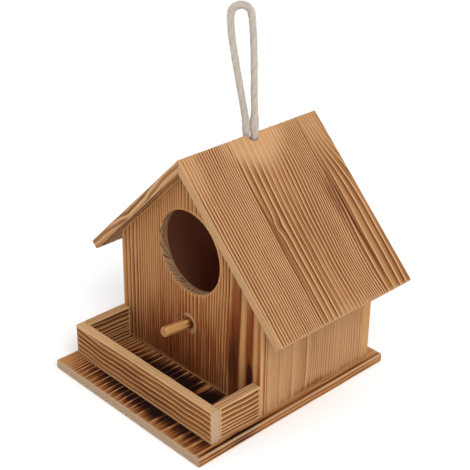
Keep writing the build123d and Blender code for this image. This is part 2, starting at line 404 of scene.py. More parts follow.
@dataclass
class Board:
    """A brushed board: a lattice over a blank, with its rings, relief and scorch.

    name, node: the piece's name and the CAD node that it replaces.
    blank: its plain shape.
    growth: its rings.
    burns: its scorched patches, over an even scorch of the given amount.
    relief: depth of the brushed grooves.
    arris: radius of its worn edges.
    bare: width of the pale sanded band beside its edges.
    step, row, layer: lattice spacing across the grain, along it and through the thickness.
    breaks: extra lattice lines, in metres across the board.
    bore: a round hole through it, if it has one.
    sink: a countersink in its outer face, if it has one.
    inside_scorch: scorch of its inner face.
    indoors: 1 if its inner face is inside the house.
    side_bare: how far its narrow side faces were left bare.
    side_relief: depth of the relief on its side and end faces, as a share.
    fine_rows: a stretch along the grain with a much finer lattice.
    """

    name: str
    node: str
    blank: Blank
    growth: Growth
    scorch: float = 0.2
    burns: tuple[Burn, ...] = ()
    relief: Relief = Relief.MEDIUM
    arris: float = 0.0009
    bare: float = 0.0016
    step: float = 0.00046
    row: float = 0.0024
    layer: float = 0.0013
    breaks: tuple[float, ...] = ()
    bore: Bore | None = None
    sink: Sink | None = None
    inside_scorch: float = 0.25
    indoors: float = 0.0
    side_bare: float = 0.0
    side_relief: float = 0.12
    fine_rows: tuple[float, float] | None = None

    def lines(self, size: float, spacing: float, breaks: tuple[float, ...] = ()) -> Array:
        """Lattice lines over one size: three across each arris, and even ones between, through the breaks.

        Args:
            size: the board's size in this direction.
            spacing: the greatest distance between lines.
            breaks: places that a line has to pass through.

        Returns:
            The lines' places, from 0 to the size.
        """
        arris_shares = np.array([0.0, 0.34, 0.7])
        r = min(self.arris, size / 4)
        stops = [r, *sorted(b for b in breaks if r < b < size - r), size - r]
        spans = [np.linspace(a, b, max(2, round((b - a) / spacing) + 1))[:-1] for a, b in zip(stops, stops[1:])]
        edge = arris_shares * r
        return np.concatenate([edge, *spans, [size - r], (size - edge)[::-1]])

    def split(self, across: Array, depth: Array) -> tuple[Array, Array, Array]:
        """Where the lattice parts round the bore.

        Beside the bore the two halves meet on a line that runs on from its middle, at the same share of the
        board's length as at the bore's edge.

        Args:
            across, depth: places on the board.

        Returns:
            The end of the lower half, the start of the upper half, and whether the bore is as wide as the place.
        """
        b, blank = self.bore, self.blank
        reach = b.radius + b.chamfer
        inside = np.abs(across - b.across) <= reach + HAIR
        edge = np.clip(across, b.across - reach, b.across + reach)
        low, high = blank.start(edge, depth), blank.end(edge, depth)
        share = (b.along - low) / (high - low)
        middle = blank.start(across, depth) + share * (blank.end(across, depth) - blank.start(across, depth))
        half = np.where(inside, b.half_length(across, depth, blank.thickness), 0.0)
        middle = np.where(inside, b.along, middle)
        return middle - half, middle + half, inside

    def build(self) -> bpy.types.Object:
        """Lay out the lattice, round its edges, cut the relief and store the wood's values.

        Returns:
            The board as one closed mesh.
        """
        blank = self.blank
        half_row = blank.length / 2
        rows = self.lines(blank.length, self.row, (half_row,))
        if self.fine_rows:
            first, last = self.fine_rows
            fine = np.arange(first, last, self.step)
            rows = np.concatenate([rows[rows < first - self.step], fine, rows[rows > last + self.step]])
        breaks = self.breaks
        if self.bore:
            reach = self.bore.radius + self.bore.chamfer
            breaks = (*breaks, self.bore.across - reach, self.bore.across + reach)
        columns = self.lines(blank.breadth, self.step, breaks)
        layers = self.lines(blank.thickness, self.layer)
        ids, grid = self.shell_ids(len(rows), len(columns), len(layers))
        nominal = np.stack([rows[grid[:, 0]], columns[grid[:, 1]], layers[grid[:, 2]]], 1)
        upper = rows[grid[:, 0]] > half_row + HAIR
        middle_row = int(np.argmin(np.abs(rows - half_row)))
        if self.bore:
            open_columns = np.flatnonzero(self.split(columns, np.zeros_like(columns))[2])
            low_ids, high_ids, twins = self.part_lattice(ids, middle_row, open_columns)
            nominal = np.concatenate([nominal, nominal[twins]])
            upper = np.concatenate([upper, np.ones(len(twins), bool)])
            grid = np.concatenate([grid, grid[twins]])
            faces = np.concatenate(
                [
                    self.block_faces(low_ids, end_columns=open_columns),
                    self.block_faces(high_ids, start_columns=open_columns),
                ]
            )
        else:
            faces = self.block_faces(ids)
        placed, normal = self.round_edges(nominal)
        local = self.stretch(placed, upper)
        if np.linalg.det(np.stack([blank.along, blank.across, blank.inward])) < 0:
            faces = faces[:, ::-1]
        return self.dress(local, normal, faces, grid[:, 0] == middle_row)

    def shell_ids(self, rows: int, columns: int, layers: int) -> tuple[Array, Array]:
        """Number the lattice's surface points, and with a bore the points through the thickness beside it.

        Args:
            rows, columns, layers: how many lattice lines there are in each direction.

        Returns:
            Their numbers in a (rows, columns, layers) block, -1 inside, and the block indices of each number.
        """
        outer = np.ones((rows, columns, layers), bool)
        outer[1:-1, 1:-1, 1:-1] = False
        if self.bore:
            outer[rows // 4 : -rows // 4, :, :] = True
        ids = np.full(outer.shape, -1)
        grid = np.argwhere(outer)
        ids[tuple(grid.T)] = np.arange(len(grid))
        return ids, grid

    @staticmethod
    def part_lattice(ids: Array, row: int, columns: Array) -> tuple[Array, Array, Array]:
        """Cut a lattice in two at a row and give the upper part points of its own over the open columns.

        Args:
            ids: the lattice's point numbers.
            row: the row of the cut.
            columns: the columns that the bore opens; the outermost two stay joined.

        Returns:
            The lower block, the upper block, and the numbers of the points that were given a twin.
        """
        low, high = ids[: row + 1].copy(), ids[row:].copy()
        inner = columns[1:-1]
        twins = ids[row][inner].ravel()
        high[0][inner] = np.arange(len(twins)).reshape(len(inner), -1) + ids.max() + 1
        return low, high, twins

    @staticmethod
    def block_faces(ids: Array, start_columns: Array | None = None, end_columns: Array | None = None) -> Array:
        """Quads on the six sides of a block of point numbers, facing out of a right-handed block.

        Args:
            ids: the point numbers.
            start_columns, end_columns: the columns where the first or last row is closed, or None for all.

        Returns:
            One row of four point numbers for each quad.
        """

        def quads(sheet: Array, flip: bool) -> Array:
            """All cells of a sheet of numbers, as quads."""
            ring = (sheet[:-1, :-1], sheet[1:, :-1], sheet[1:, 1:], sheet[:-1, 1:])
            cells = np.stack([corner.ravel() for corner in ring], 1)
            return cells[:, ::-1] if flip else cells

        def capped(sheet: Array, columns: Array | None, flip: bool) -> Array:
            """An end sheet, whole or over a run of columns."""
            return quads(sheet if columns is None else sheet[columns[0] : columns[-1] + 1], flip)

        return np.concatenate(
            [
                quads(ids[:, :, 0], True),
                quads(ids[:, :, -1], False),
                quads(ids[:, 0, :], False),
                quads(ids[:, -1, :], True),
                capped(ids[0], start_columns, True),
                capped(ids[-1], end_columns, False),
            ]
        )

    def round_edges(self, nominal: Array) -> tuple[Array, Array]:
        """Round the plain box: each point goes to the arris radius from the box shrunk by that radius.

        Args:
            nominal: points on the plain box.

        Returns:
            The rounded points, and the direction that each one faces.
        """
        size = np.array([self.blank.length, self.blank.breadth, self.blank.thickness])
        r = self.arris
        core = np.clip(nominal, r, size - r)
        off = nominal - core
        reach = np.linalg.norm(off, axis=1, keepdims=True)
        normal = off / np.maximum(reach, HAIR)
        placed = np.where(reach > 0, core + normal * r, nominal)
        return placed, normal

    def stretch(self, placed: Array, upper: Array) -> Array:
        """Carry the nominal box onto the blank: rows spread evenly from its start to its end, round the bore.

        Args:
            placed: points on the rounded box.
            upper: whether each one belongs to the half above the bore.

        Returns:
            The points' places along, across and below the outer face.
        """
        blank = self.blank
        share, across, depth = placed[:, 0] / blank.length, placed[:, 1], placed[:, 2]
        start, end = blank.start(across, depth), blank.end(across, depth)
        along = start + share * (end - start)
        if self.bore:
            below, above, _ = self.split(across, depth)
            low = start + 2 * share * (below - start)
            high = above + (2 * share - 1) * (end - above)
            along = np.where(upper, high, low)
        return np.stack([along, across, depth], 1)

    def groove_depth(self, rings: Array, span: Array, ridge: Array, on_face: Array) -> Array:
        """Depth of the brushed relief: nothing on a ring's hard ridge, and a smooth step down to the soft wood.

        Args:
            rings: the ring count.
            span: distance between ring lines on the surface.
            ridge: half width of a ridge.
            on_face: 1 on the two faces, 0 on the edges.

        Returns:
            The depth at each point, a little different from ring to ring.
        """
        shallowest, scatter = 0.62, 12.9898
        nearest = np.round(rings)
        groove = smooth(0.25, 1.3, np.abs(rings - nearest) * span / ridge)
        strength = shallowest + (1 - shallowest) * np.sin(nearest * scatter) ** 2
        return self.relief.value * groove * strength * (self.side_relief + (1 - self.side_relief) * on_face)

    def bare_wood(self, local: Array, on_face: Array, on_side: Array) -> Array:
        """How bare the sanded wood is: 1 along every edge, fading over the bare width.

        Args:
            local: places in the board.
            on_face, on_side: 1 where the surface faces out of the board's faces or its narrow sides.

        Returns:
            The bareness at each place.
        """
        blank = self.blank
        along, across, depth = local.T
        low_end, high_end = blank.start(across, depth), blank.end(across, depth)
        from_edge = np.minimum.reduce([across, blank.breadth - across, along - low_end, high_end - along])
        side_edge = np.minimum(depth, blank.thickness - depth)
        bare = 1 - smooth(0.25, 1.0, np.where(on_face > 0.5, from_edge, side_edge) / self.bare)
        return np.maximum(bare, self.side_bare * smooth(0.4, 0.9, on_side))

    def bore_rim(self, local: Array, from_bore: Array) -> Array:
        """The worn rim round the bore on the outer face: narrow below it, and wider and paler above and beside it.

        Args:
            local: places in the board.
            from_bore: distance from the bore's wall.

        Returns:
            How bare the rim is.
        """
        b = self.bore
        narrow, widening = 0.0009, 0.0024
        faint, brightening = 0.35, 0.60
        upper_right = np.clip((local[:, 0] - b.along + local[:, 1] - b.across) / (1.4 * b.radius), 0.0, 1.0)
        width = narrow + widening * upper_right
        rim = (1 - smooth(0.3, 1.0, from_bore / width)) * smooth(-0.001, 0.0, from_bore)
        return (faint + brightening * upper_right) * rim

    def dress(self, local: Array, normal: Array, faces: Array, on_middle_row: Array) -> bpy.types.Object:
        """Cut the relief into the board and store its ring, scorch and edge values on its vertices.

        Args:
            local: each vertex's place along, across and below the outer face.
            normal: the direction that it faces, in the same terms.
            faces: the quads.
            on_middle_row: whether it stands on the row that the bore parts.

        Returns:
            The board as a mesh object.
        """
        blank, growth = self.blank, self.growth
        along, across, depth = local.T
        rings, width = growth.rings_at(along, across, depth, blank.breadth)
        on_face, on_side, on_end = normal[:, 2] ** 2, normal[:, 1] ** 2, normal[:, 0] ** 2
        span = width * on_face + growth.pitch * (1 - on_face)
        ridge = np.minimum(growth.ridge + growth.flare * np.maximum(span - growth.pitch, 0.0), 0.34 * span)
        ring_span = span
        scorch = np.full(len(local), self.scorch)
        for burn in self.burns:
            scorch = scorch + burn.at(along, across)
        bare = self.bare_wood(local, on_face, on_side)
        inner = (depth > 0.6 * blank.thickness) & (on_face > 0.5)
        scorch = np.where(inner, self.inside_scorch, scorch)
        indoors = np.where(inner, self.indoors, 0.0)
        if self.bore:
            b = self.bore
            from_bore = np.hypot(along - b.along, across - b.across) - b.radius
            bare = np.where(depth < self.arris, np.maximum(bare, self.bore_rim(local, from_bore)), bare)
            in_bore = on_middle_row & (from_bore < 0.5 * b.chamfer) & (depth > b.chamfer)
            on_end = np.where(in_bore, 0.85, on_end)
            on_face = np.where(in_bore, 0.0, on_face)
            span = np.where(in_bore, growth.pitch, span)
            indoors = np.where(in_bore, 0.0, indoors)
        moved = local - normal * self.groove_depth(rings, ring_span, ridge, on_face)[:, None]
        if self.sink:
            on_front = depth < self.arris
            # The sink's ring is bare wood made brightest on its upper right as painted light, and its floor round
            # the dowel is scorch deepened as painted shade.
            dip, pale, dark = self.sink.dressed(along, across)
            moved[:, 2] += np.where(on_front & (on_face > 0.5), dip, 0.0)
            bare = np.where(on_front, np.maximum(bare, pale), bare)
            scorch = scorch + np.where(on_front, dark, 0.0)
        points = blank.origin + moved @ np.stack([blank.along, blank.across, blank.inward])
        values = {
            "ring": rings,
            "span": span,
            "ridge": ridge,
            "scorch": np.clip(scorch, -1.0, 1.2),
            "bare": bare,
            "end_grain": on_end,
            "indoors": indoors,
            "grain": local,
        }
        return make_mesh(self.name, points, faces, values)


# ---------------------------------------------------------------- shader building


class Graph:
    """Short calls that add and join shader nodes in one tree.

    MIX_FIRST, MIX_SECOND, MIX_COLOUR: numbers of a Mix node's colour sockets, which share their names with others.
    """

    MIX_FIRST, MIX_SECOND, MIX_COLOUR = 6, 7, 2

    def __init__(self, tree: bpy.types.NodeTree) -> None:
        """Work on a material's or a group's tree."""
        self.tree = tree

    def node(self, kind: str, **settings: object) -> bpy.types.Node:
        """Add a node of a kind and set its properties."""
        made = self.tree.nodes.new(kind)
        for key, value in settings.items():
            setattr(made, key, value)
        return made

    def feed(self, socket: Plug, value: object) -> None:
        """Join a socket to another one, or set its value."""
        if isinstance(value, Plug):
            self.tree.links.new(value, socket)
        else:
            socket.default_value = value

    def math(self, operation: str, *values: object, clamp: bool = False) -> Plug:
        """A Math node on up to three values."""
        made = self.node("ShaderNodeMath", operation=operation, use_clamp=clamp)
        for socket, value in zip(made.inputs, values):
            self.feed(socket, value)
        return made.outputs[0]

    def step(self, value: object, low: object, high: object, to_low: float = 0.0, to_high: float = 1.0) -> Plug:
        """A smooth step of a value from low to high."""
        made = self.node("ShaderNodeMapRange", interpolation_type="SMOOTHSTEP")
        limits = {"Value": value, "From Min": low, "From Max": high, "To Min": to_low, "To Max": to_high}
        for name, given in limits.items():
            self.feed(made.inputs[name], given)
        return made.outputs["Result"]

    def mix(self, factor: object, first: object, second: object) -> Plug:
        """Mix two colours."""
        made = self.node("ShaderNodeMix", data_type="RGBA", clamp_factor=True)
        self.feed(made.inputs["Factor"], factor)
        self.feed(made.inputs[self.MIX_FIRST], first)
        self.feed(made.inputs[self.MIX_SECOND], second)
        return made.outputs[self.MIX_COLOUR]

    def attribute(self, name: str, vector: bool = False) -> Plug:
        """A value stored on the mesh."""
        made = self.node("ShaderNodeAttribute", attribute_name=name)
        return made.outputs["Vector" if vector else "Fac"]

    def scaled(self, vector: object, scale: tuple[float, float, float]) -> Plug:
        """A vector times a fixed scale along each axis."""
        made = self.node("ShaderNodeMapping")
        self.feed(made.inputs["Vector"], vector)
        made.inputs["Scale"].default_value = scale
        return made.outputs["Vector"]

    def noise(self, vector: object, detail: float = 3.0, roughness: float = 0.55) -> Plug:
        """Noise value at a vector."""
        made = self.node("ShaderNodeTexNoise", noise_dimensions="3D")
        self.feed(made.inputs["Vector"], vector)
        for name, given in (("Scale", 1.0), ("Detail", detail), ("Roughness", roughness)):
            self.feed(made.inputs[name], given)
        return made.outputs[0]

    def group(self, group: bpy.types.NodeTree, **values: object) -> bpy.types.Node:
        """Place a node group and feed its inputs by name, with underscores for spaces."""
        made = self.node("ShaderNodeGroup", node_tree=group)
        for key, value in values.items():
            self.feed(made.inputs[key.replace("_", " ")], value)
        return made


def new_group(
    name: str, inputs: dict[str, str], outputs: dict[str, str]
) -> tuple[Graph, dict[str, Plug], dict[str, Plug]]:
    """Start a shader node group.

    Args:
        name: the group's name.
        inputs, outputs: socket names and their kinds, "Float", "Vector" or "Color".

    Returns:
        The graph to build in, and the inner plugs of its inputs and outputs by name.
    """
    tree = bpy.data.node_groups.new(name, "ShaderNodeTree")
    for key, kind in inputs.items():
        tree.interface.new_socket(key, in_out="INPUT", socket_type=f"NodeSocket{kind}")
    for key, kind in outputs.items():
        tree.interface.new_socket(key, in_out="OUTPUT", socket_type=f"NodeSocket{kind}")
    enter = tree.nodes.new("NodeGroupInput")
    leave = tree.nodes.new("NodeGroupOutput")
    return Graph(tree), {k: enter.outputs[k] for k in inputs}, {k: leave.inputs[k] for k in outputs}


def ring_lines_group() -> bpy.types.NodeTree:
    """Group: from ring count, spacing and ridge width, the hard ridge of each ring and the wood between them.

    Fade runs from 0 just past a ridge to 1 just before the next one, as spring wood darkens less than the wood that
    stands against the next ring. The ridge and the dark line on one side of it are steps on the distance from the
    nearest ring, counted in half widths of its ridge; that line is partly burn and partly the ridge's painted
    shadow.

    Returns:
        The group's tree.
    """
    g, i, o = new_group(
        "Ring lines",
        {"Ring": "Float", "Span": "Float", "Ridge Width": "Float"},
        {"Ridge": "Float", "Burn And Shadow Line": "Float", "Fade": "Float", "Ring Tone": "Float"},
    )
    nearest = g.math("FLOOR", g.math("ADD", i["Ring"], 0.5))
    offset = g.math("SUBTRACT", i["Ring"], nearest)
    side = g.math("DIVIDE", g.math("MULTIPLY", offset, i["Span"]), i["Ridge Width"])
    g.feed(o["Ridge"], g.math("MULTIPLY", g.step(side, -1.05, -0.55), g.step(side, 1.7, 0.2)))
    # The dark line on one side of each ridge is partly burn and partly the ridge's painted shadow.
    g.feed(o["Burn And Shadow Line"], g.math("MULTIPLY", g.step(side, -2.6, -1.3), g.step(side, -0.6, -1.0)))
    g.feed(o["Fade"], g.math("FRACT", i["Ring"]))
    tone = g.node("ShaderNodeTexWhiteNoise", noise_dimensions="1D")
    g.feed(tone.inputs["W"], nearest)
    g.feed(o["Ring Tone"], tone.outputs["Value"])
    return g.tree


def fibres_group() -> bpy.types.NodeTree:
    """Group: streaks and patches that follow the grain, from a point's place in its board.

    Each is a noise whose place is scaled less along the grain than across it.
    """
    g, i, o = new_group(
        "Wood fibres", {"Grain": "Vector"}, {"Fibres": "Float", "Streaks": "Float", "Patches": "Float"}
    )
    g.feed(o["Fibres"], g.noise(g.scaled(i["Grain"], (90.0, 2600.0, 2600.0)), 2.0, 0.6))
    g.feed(o["Streaks"], g.noise(g.scaled(i["Grain"], (14.0, 420.0, 420.0)), 3.0, 0.6))
    g.feed(o["Patches"], g.noise(g.scaled(i["Grain"], (16.0, 45.0, 45.0)), 3.0, 0.55))
    return g.tree


def scorched_pine_group(ring_lines: bpy.types.NodeTree, fibres: bpy.types.NodeTree) -> bpy.types.NodeTree:
    """Group: the colour, roughness and fine height of scorched and brushed pine.

    Wood between rings runs from soft to deep, the dark line beside each ring is partly burn and partly the ridge's
    painted shadow, the ring itself is brushed pale, then the scorch darkens everything in streaks and spares the
    ridges by the ridge guard. A negative scorch is a washed-out place. Sanded edges are bare, end grain is grey, and
    the inside of the house is stained.

    Args:
        ring_lines: the group that finds the ridges and the burnt lines.
        fibres: the group that makes streaks and patches.

    Returns:
        The group's tree.
    """
    colours = ("Ridge", "Soft", "Deep", "Line", "Scorch", "Char", "Bare", "End", "Indoor")
    inputs = {"Line Strength": "Float", "Ridge Guard": "Float", "Streak": "Float", "End Lines": "Float"}
    inputs |= {f"{c} Colour": "Color" for c in colours}
    g, i, o = new_group("Scorched pine", inputs, {"Color": "Color", "Roughness": "Float", "Height": "Float"})
    lines = g.group(
        ring_lines, Ring=g.attribute("ring"), Span=g.attribute("span"), Ridge_Width=g.attribute("ridge")
    )
    ridge, burn_and_shadow_line, fade, tone = (lines.outputs[k] for k in ("Ridge", "Burn And Shadow Line", "Fade", "Ring Tone"))
    wood = g.group(fibres, Grain=g.attribute("grain", vector=True)).outputs
    scorch, bare, end = g.attribute("scorch"), g.attribute("bare"), g.attribute("end_grain")
    washed = g.step(scorch, -0.02, -0.45)

    depth = g.math("MULTIPLY_ADD", g.math("SUBTRACT", wood["Patches"], 0.5), 1.3, fade)
    depth = g.math("MULTIPLY_ADD", g.math("SUBTRACT", tone, 0.5), 0.5, depth)
    worked = g.mix(g.step(depth, 0.0, 1.0), i["Soft Colour"], i["Deep Colour"])
    worked = g.mix(g.math("MULTIPLY", g.step(wood["Streaks"], 0.48, 0.72), 0.35), worked, i["Line Colour"])
    # The line colour beside each ridge is partly burn and partly the ridge's painted shadow.
    line = g.math("MULTIPLY", g.math("MULTIPLY", burn_and_shadow_line, i["Line Strength"]), g.math("MULTIPLY_ADD", tone, 0.7, 0.5))
    worked = g.mix(g.math("MULTIPLY", line, g.math("SUBTRACT", 1.0, washed), clamp=True), worked, i["Line Colour"])
    worked = g.mix(g.math("MULTIPLY", washed, 0.7), worked, i["Ridge Colour"])
    pale = g.math("MULTIPLY", ridge, g.math("MULTIPLY_ADD", tone, 0.3, 0.7))
    worked = g.mix(pale, worked, i["Ridge Colour"])

    streaked = g.math("MULTIPLY_ADD", g.math("SUBTRACT", wood["Streaks"], 0.5), i["Streak"], scorch)
    streaked = g.math("MULTIPLY_ADD", g.math("SUBTRACT", wood["Patches"], 0.5), 0.5, streaked)
    streaked = g.math("SUBTRACT", streaked, g.math("MULTIPLY", ridge, i["Ridge Guard"]))
    worked = g.mix(g.math("MULTIPLY", g.step(streaked, 0.12, 0.62), 0.9), worked, i["Scorch Colour"])
    worked = g.mix(g.math("MULTIPLY", g.step(streaked, 0.55, 0.95), 0.97), worked, i["Char Colour"])

    worn = g.math("MULTIPLY", bare, g.step(wood["Patches"], 0.22, 0.55, 0.55, 0.98))
    worked = g.mix(worn, worked, i["Bare Colour"])
    grey = g.mix(g.math("MULTIPLY", burn_and_shadow_line, i["End Lines"]), i["End Colour"], i["Line Colour"])
    worked = g.mix(g.math("MULTIPLY", end, 0.9), worked, grey)
    worked = g.mix(g.attribute("indoors"), worked, i["Indoor Colour"])
    pores = g.math("MULTIPLY", g.step(wood["Fibres"], 0.42, 0.75), 0.14)
    g.feed(o["Color"], g.mix(pores, worked, (0.02, 0.01, 0.006, 1)))
    rough = g.math("MULTIPLY_ADD", wood["Fibres"], 0.22, 0.56)
    g.feed(o["Roughness"], g.math("MULTIPLY_ADD", ridge, -0.10, rough, clamp=True))
    height = g.math("MULTIPLY_ADD", wood["Fibres"], 0.7, g.math("MULTIPLY", wood["Streaks"], 0.5))
    g.feed(o["Height"], g.math("MULTIPLY_ADD", ridge, 0.25, height))
    return g.tree


@dataclass(frozen=True)
class ScorchedPine:
    """One finish of scorched and brushed pine. Colours are display colours, 0 to 255."""

    name: str
    ridge: Colour
    soft: Colour
    deep: Colour
    line: Colour
    scorch: Colour
    char: Colour
    bare: Colour
    end: Colour
    indoor: Colour = (222, 154, 122)
    line_strength: float = 0.9
    ridge_guard: float = 0.15
    streak: float = 1.1
    end_lines: float = 0.15

    def material(self, pine: bpy.types.NodeTree) -> bpy.types.Material:
        """Build the material round the shared pine group.

        Args:
            pine: the shared group.

        Returns:
            The material.
        """
        made = bpy.data.materials.new(self.name)
        made.use_nodes = True
        g = Graph(made.node_tree)
        shader = made.node_tree.nodes["Principled BSDF"]
        wood = g.group(
            pine,
            Line_Strength=self.line_strength,
            Ridge_Guard=self.ridge_guard,
            Streak=self.streak,
            End_Lines=self.end_lines,
            Ridge_Colour=linear(*self.ridge),
            Soft_Colour=linear(*self.soft),
            Deep_Colour=linear(*self.deep),
            Line_Colour=linear(*self.line),
            Scorch_Colour=linear(*self.scorch),
            Char_Colour=linear(*self.char),
            Bare_Colour=linear(*self.bare),
            End_Colour=linear(*self.end),
            Indoor_Colour=linear(*self.indoor),
        ).outputs
        g.feed(shader.inputs["Base Color"], wood["Color"])
        g.feed(shader.inputs["Roughness"], wood["Roughness"])
        shader.inputs["Specular IOR Level"].default_value = 0.06
        bump = g.node("ShaderNodeBump")
        bump.inputs["Strength"].default_value = 0.5
        bump.inputs["Distance"].default_value = 0.00025
        g.feed(bump.inputs["Height"], wood["Height"])
        g.feed(shader.inputs["Normal"], bump.outputs["Normal"])
        return made


@dataclass(frozen=True)
class CottonRope:
    """Undyed twisted cotton: pale crowns, grey-brown painted shade between the yarns, and a soft sheen."""

    name: str = "cotton_rope"
    crown: Colour = (190, 180, 169)
    groove_shade: Colour = (176, 165, 153)
    stain: Colour = (174, 160, 144)
    fleck: Colour = (138, 120, 104)

    def material(self) -> bpy.types.Material:
        """Build the material from the rope's own yarn and lay values.

        Returns:
            The material.
        """
        made = bpy.data.materials.new(self.name)
        made.use_nodes = True
        g = Graph(made.node_tree)
        shader = made.node_tree.nodes["Principled BSDF"]
        place = g.attribute("lay", vector=True)
        yarn = g.attribute("yarn")
        fleck = g.noise(g.scaled(place, (900.0, 6.0, 1.0)), 4.0, 0.7)
        patch = g.noise(g.scaled(place, (70.0, 1.4, 1.0)), 3.0, 0.6)
        # Between the strands the colour darkens towards the groove colour: painted shade in the rope's grooves.
        colour = g.mix(g.step(yarn, 0.10, 0.85), linear(*self.groove_shade), linear(*self.crown))
        colour = g.mix(g.math("MULTIPLY", g.step(patch, 0.42, 0.70), 0.6), colour, linear(*self.stain))
        colour = g.mix(g.math("MULTIPLY", g.step(fleck, 0.50, 0.72), 0.5), colour, linear(*self.fleck))
        g.feed(shader.inputs["Base Color"], colour)
        shader.inputs["Roughness"].default_value = 0.92
        shader.inputs["Specular IOR Level"].default_value = 0.2
        shader.inputs["Sheen Weight"].default_value = 0.35
        shader.inputs["Sheen Roughness"].default_value = 0.5
        bump = g.node("ShaderNodeBump")
        bump.inputs["Strength"].default_value = 0.6
        bump.inputs["Distance"].default_value = 0.0003
        g.feed(bump.inputs["Height"], fleck)
        g.feed(shader.inputs["Normal"], bump.outputs["Normal"])
        return made


def brad_material() -> bpy.types.Material:
    """Plain steel of the hidden brads, with faint drawing marks.

    Returns:
        The material.
    """
    made = bpy.data.materials.new(Slot.BRADS.value)
    made.use_nodes = True
    g = Graph(made.node_tree)
    shader = made.node_tree.nodes["Principled BSDF"]
    place = g.node("ShaderNodeTexCoord").outputs["Object"]
    marks = g.noise(g.scaled(place, (2400.0, 2400.0, 2400.0)), 2.0)
    g.feed(shader.inputs["Base Color"], g.mix(marks, linear(120, 118, 114), linear(176, 174, 170)))
    g.feed(shader.inputs["Roughness"], g.step(marks, 0.2, 0.8, 0.30, 0.5))
    shader.inputs["Metallic"].default_value = 1.0
    return made


# ---------------------------------------------------------------- the wooden house


@dataclass
class Palette:
    """The wood finishes, built once and shared by the boards."""

    pine: bpy.types.NodeTree
    walls: bpy.types.Material = field(init=False)
    sides: bpy.types.Material = field(init=False)
    roof: bpy.types.Material = field(init=False)
    rails: bpy.types.Material = field(init=False)
    base: bpy.types.Material = field(init=False)
    perch: bpy.types.Material = field(init=False)

    def __post_init__(self) -> None:
        """Mix the six finishes."""
        self.walls = ScorchedPine(
            "brushed_pine_walls",
            ridge=(192, 142, 93),
            soft=(174, 121, 74),
            deep=(140, 82, 40),
            line=(84, 34, 10),
            scorch=(126, 61, 27),
            char=(56, 24, 15),
            bare=(204, 159, 108),
            end=(166, 136, 108),
            line_strength=1.25,
            end_lines=0.95,
        ).material(self.pine)
        self.sides = ScorchedPine(
            "brushed_pine_sides",
            ridge=(186, 144, 102),
            soft=(179, 136, 94),
            deep=(162, 117, 78),
            line=(130, 86, 50),
            scorch=(124, 74, 38),
            char=(84, 44, 22),
            bare=(188, 148, 104),
            end=(170, 136, 98),
            line_strength=0.70,
            streak=0.8,
        ).material(self.pine)
        self.roof = ScorchedPine(
            "brushed_pine_roof",
            ridge=(205, 160, 115),
            soft=(170, 121, 78),
            deep=(128, 81, 44),
            line=(88, 45, 20),
            scorch=(108, 61, 33),
            char=(70, 33, 18),
            bare=(190, 150, 108),
            end=(166, 128, 90),
            line_strength=1.15,
        ).material(self.pine)
        self.rails = ScorchedPine(
            "brushed_pine_rails",
            ridge=(206, 158, 110),
            soft=(156, 105, 62),
            deep=(116, 69, 34),
            line=(82, 40, 16),
            scorch=(94, 47, 22),
            char=(42, 21, 15),
            bare=(206, 166, 120),
            end=(186, 160, 130),
            line_strength=1.1,
        ).material(self.pine)
        self.base = ScorchedPine(
            "charred_pine_base",
            ridge=(188, 136, 88),
            soft=(156, 102, 57),
            deep=(124, 72, 35),
            line=(88, 38, 16),
            scorch=(80, 34, 17),
            char=(22, 14, 13),
            bare=(188, 150, 112),
            end=(172, 148, 122),
            ridge_guard=0.42,
            streak=1.9,
        ).material(self.pine)
        self.perch = ScorchedPine(
            "perch_dowel",
            ridge=(206, 158, 100),
            soft=(194, 142, 84),
            deep=(166, 112, 60),
            line=(120, 68, 32),
            scorch=(116, 56, 26),
            char=(60, 26, 15),
            bare=(196, 150, 106),
            end=(170, 118, 82),
            line_strength=0.6,
        ).material(self.pine)


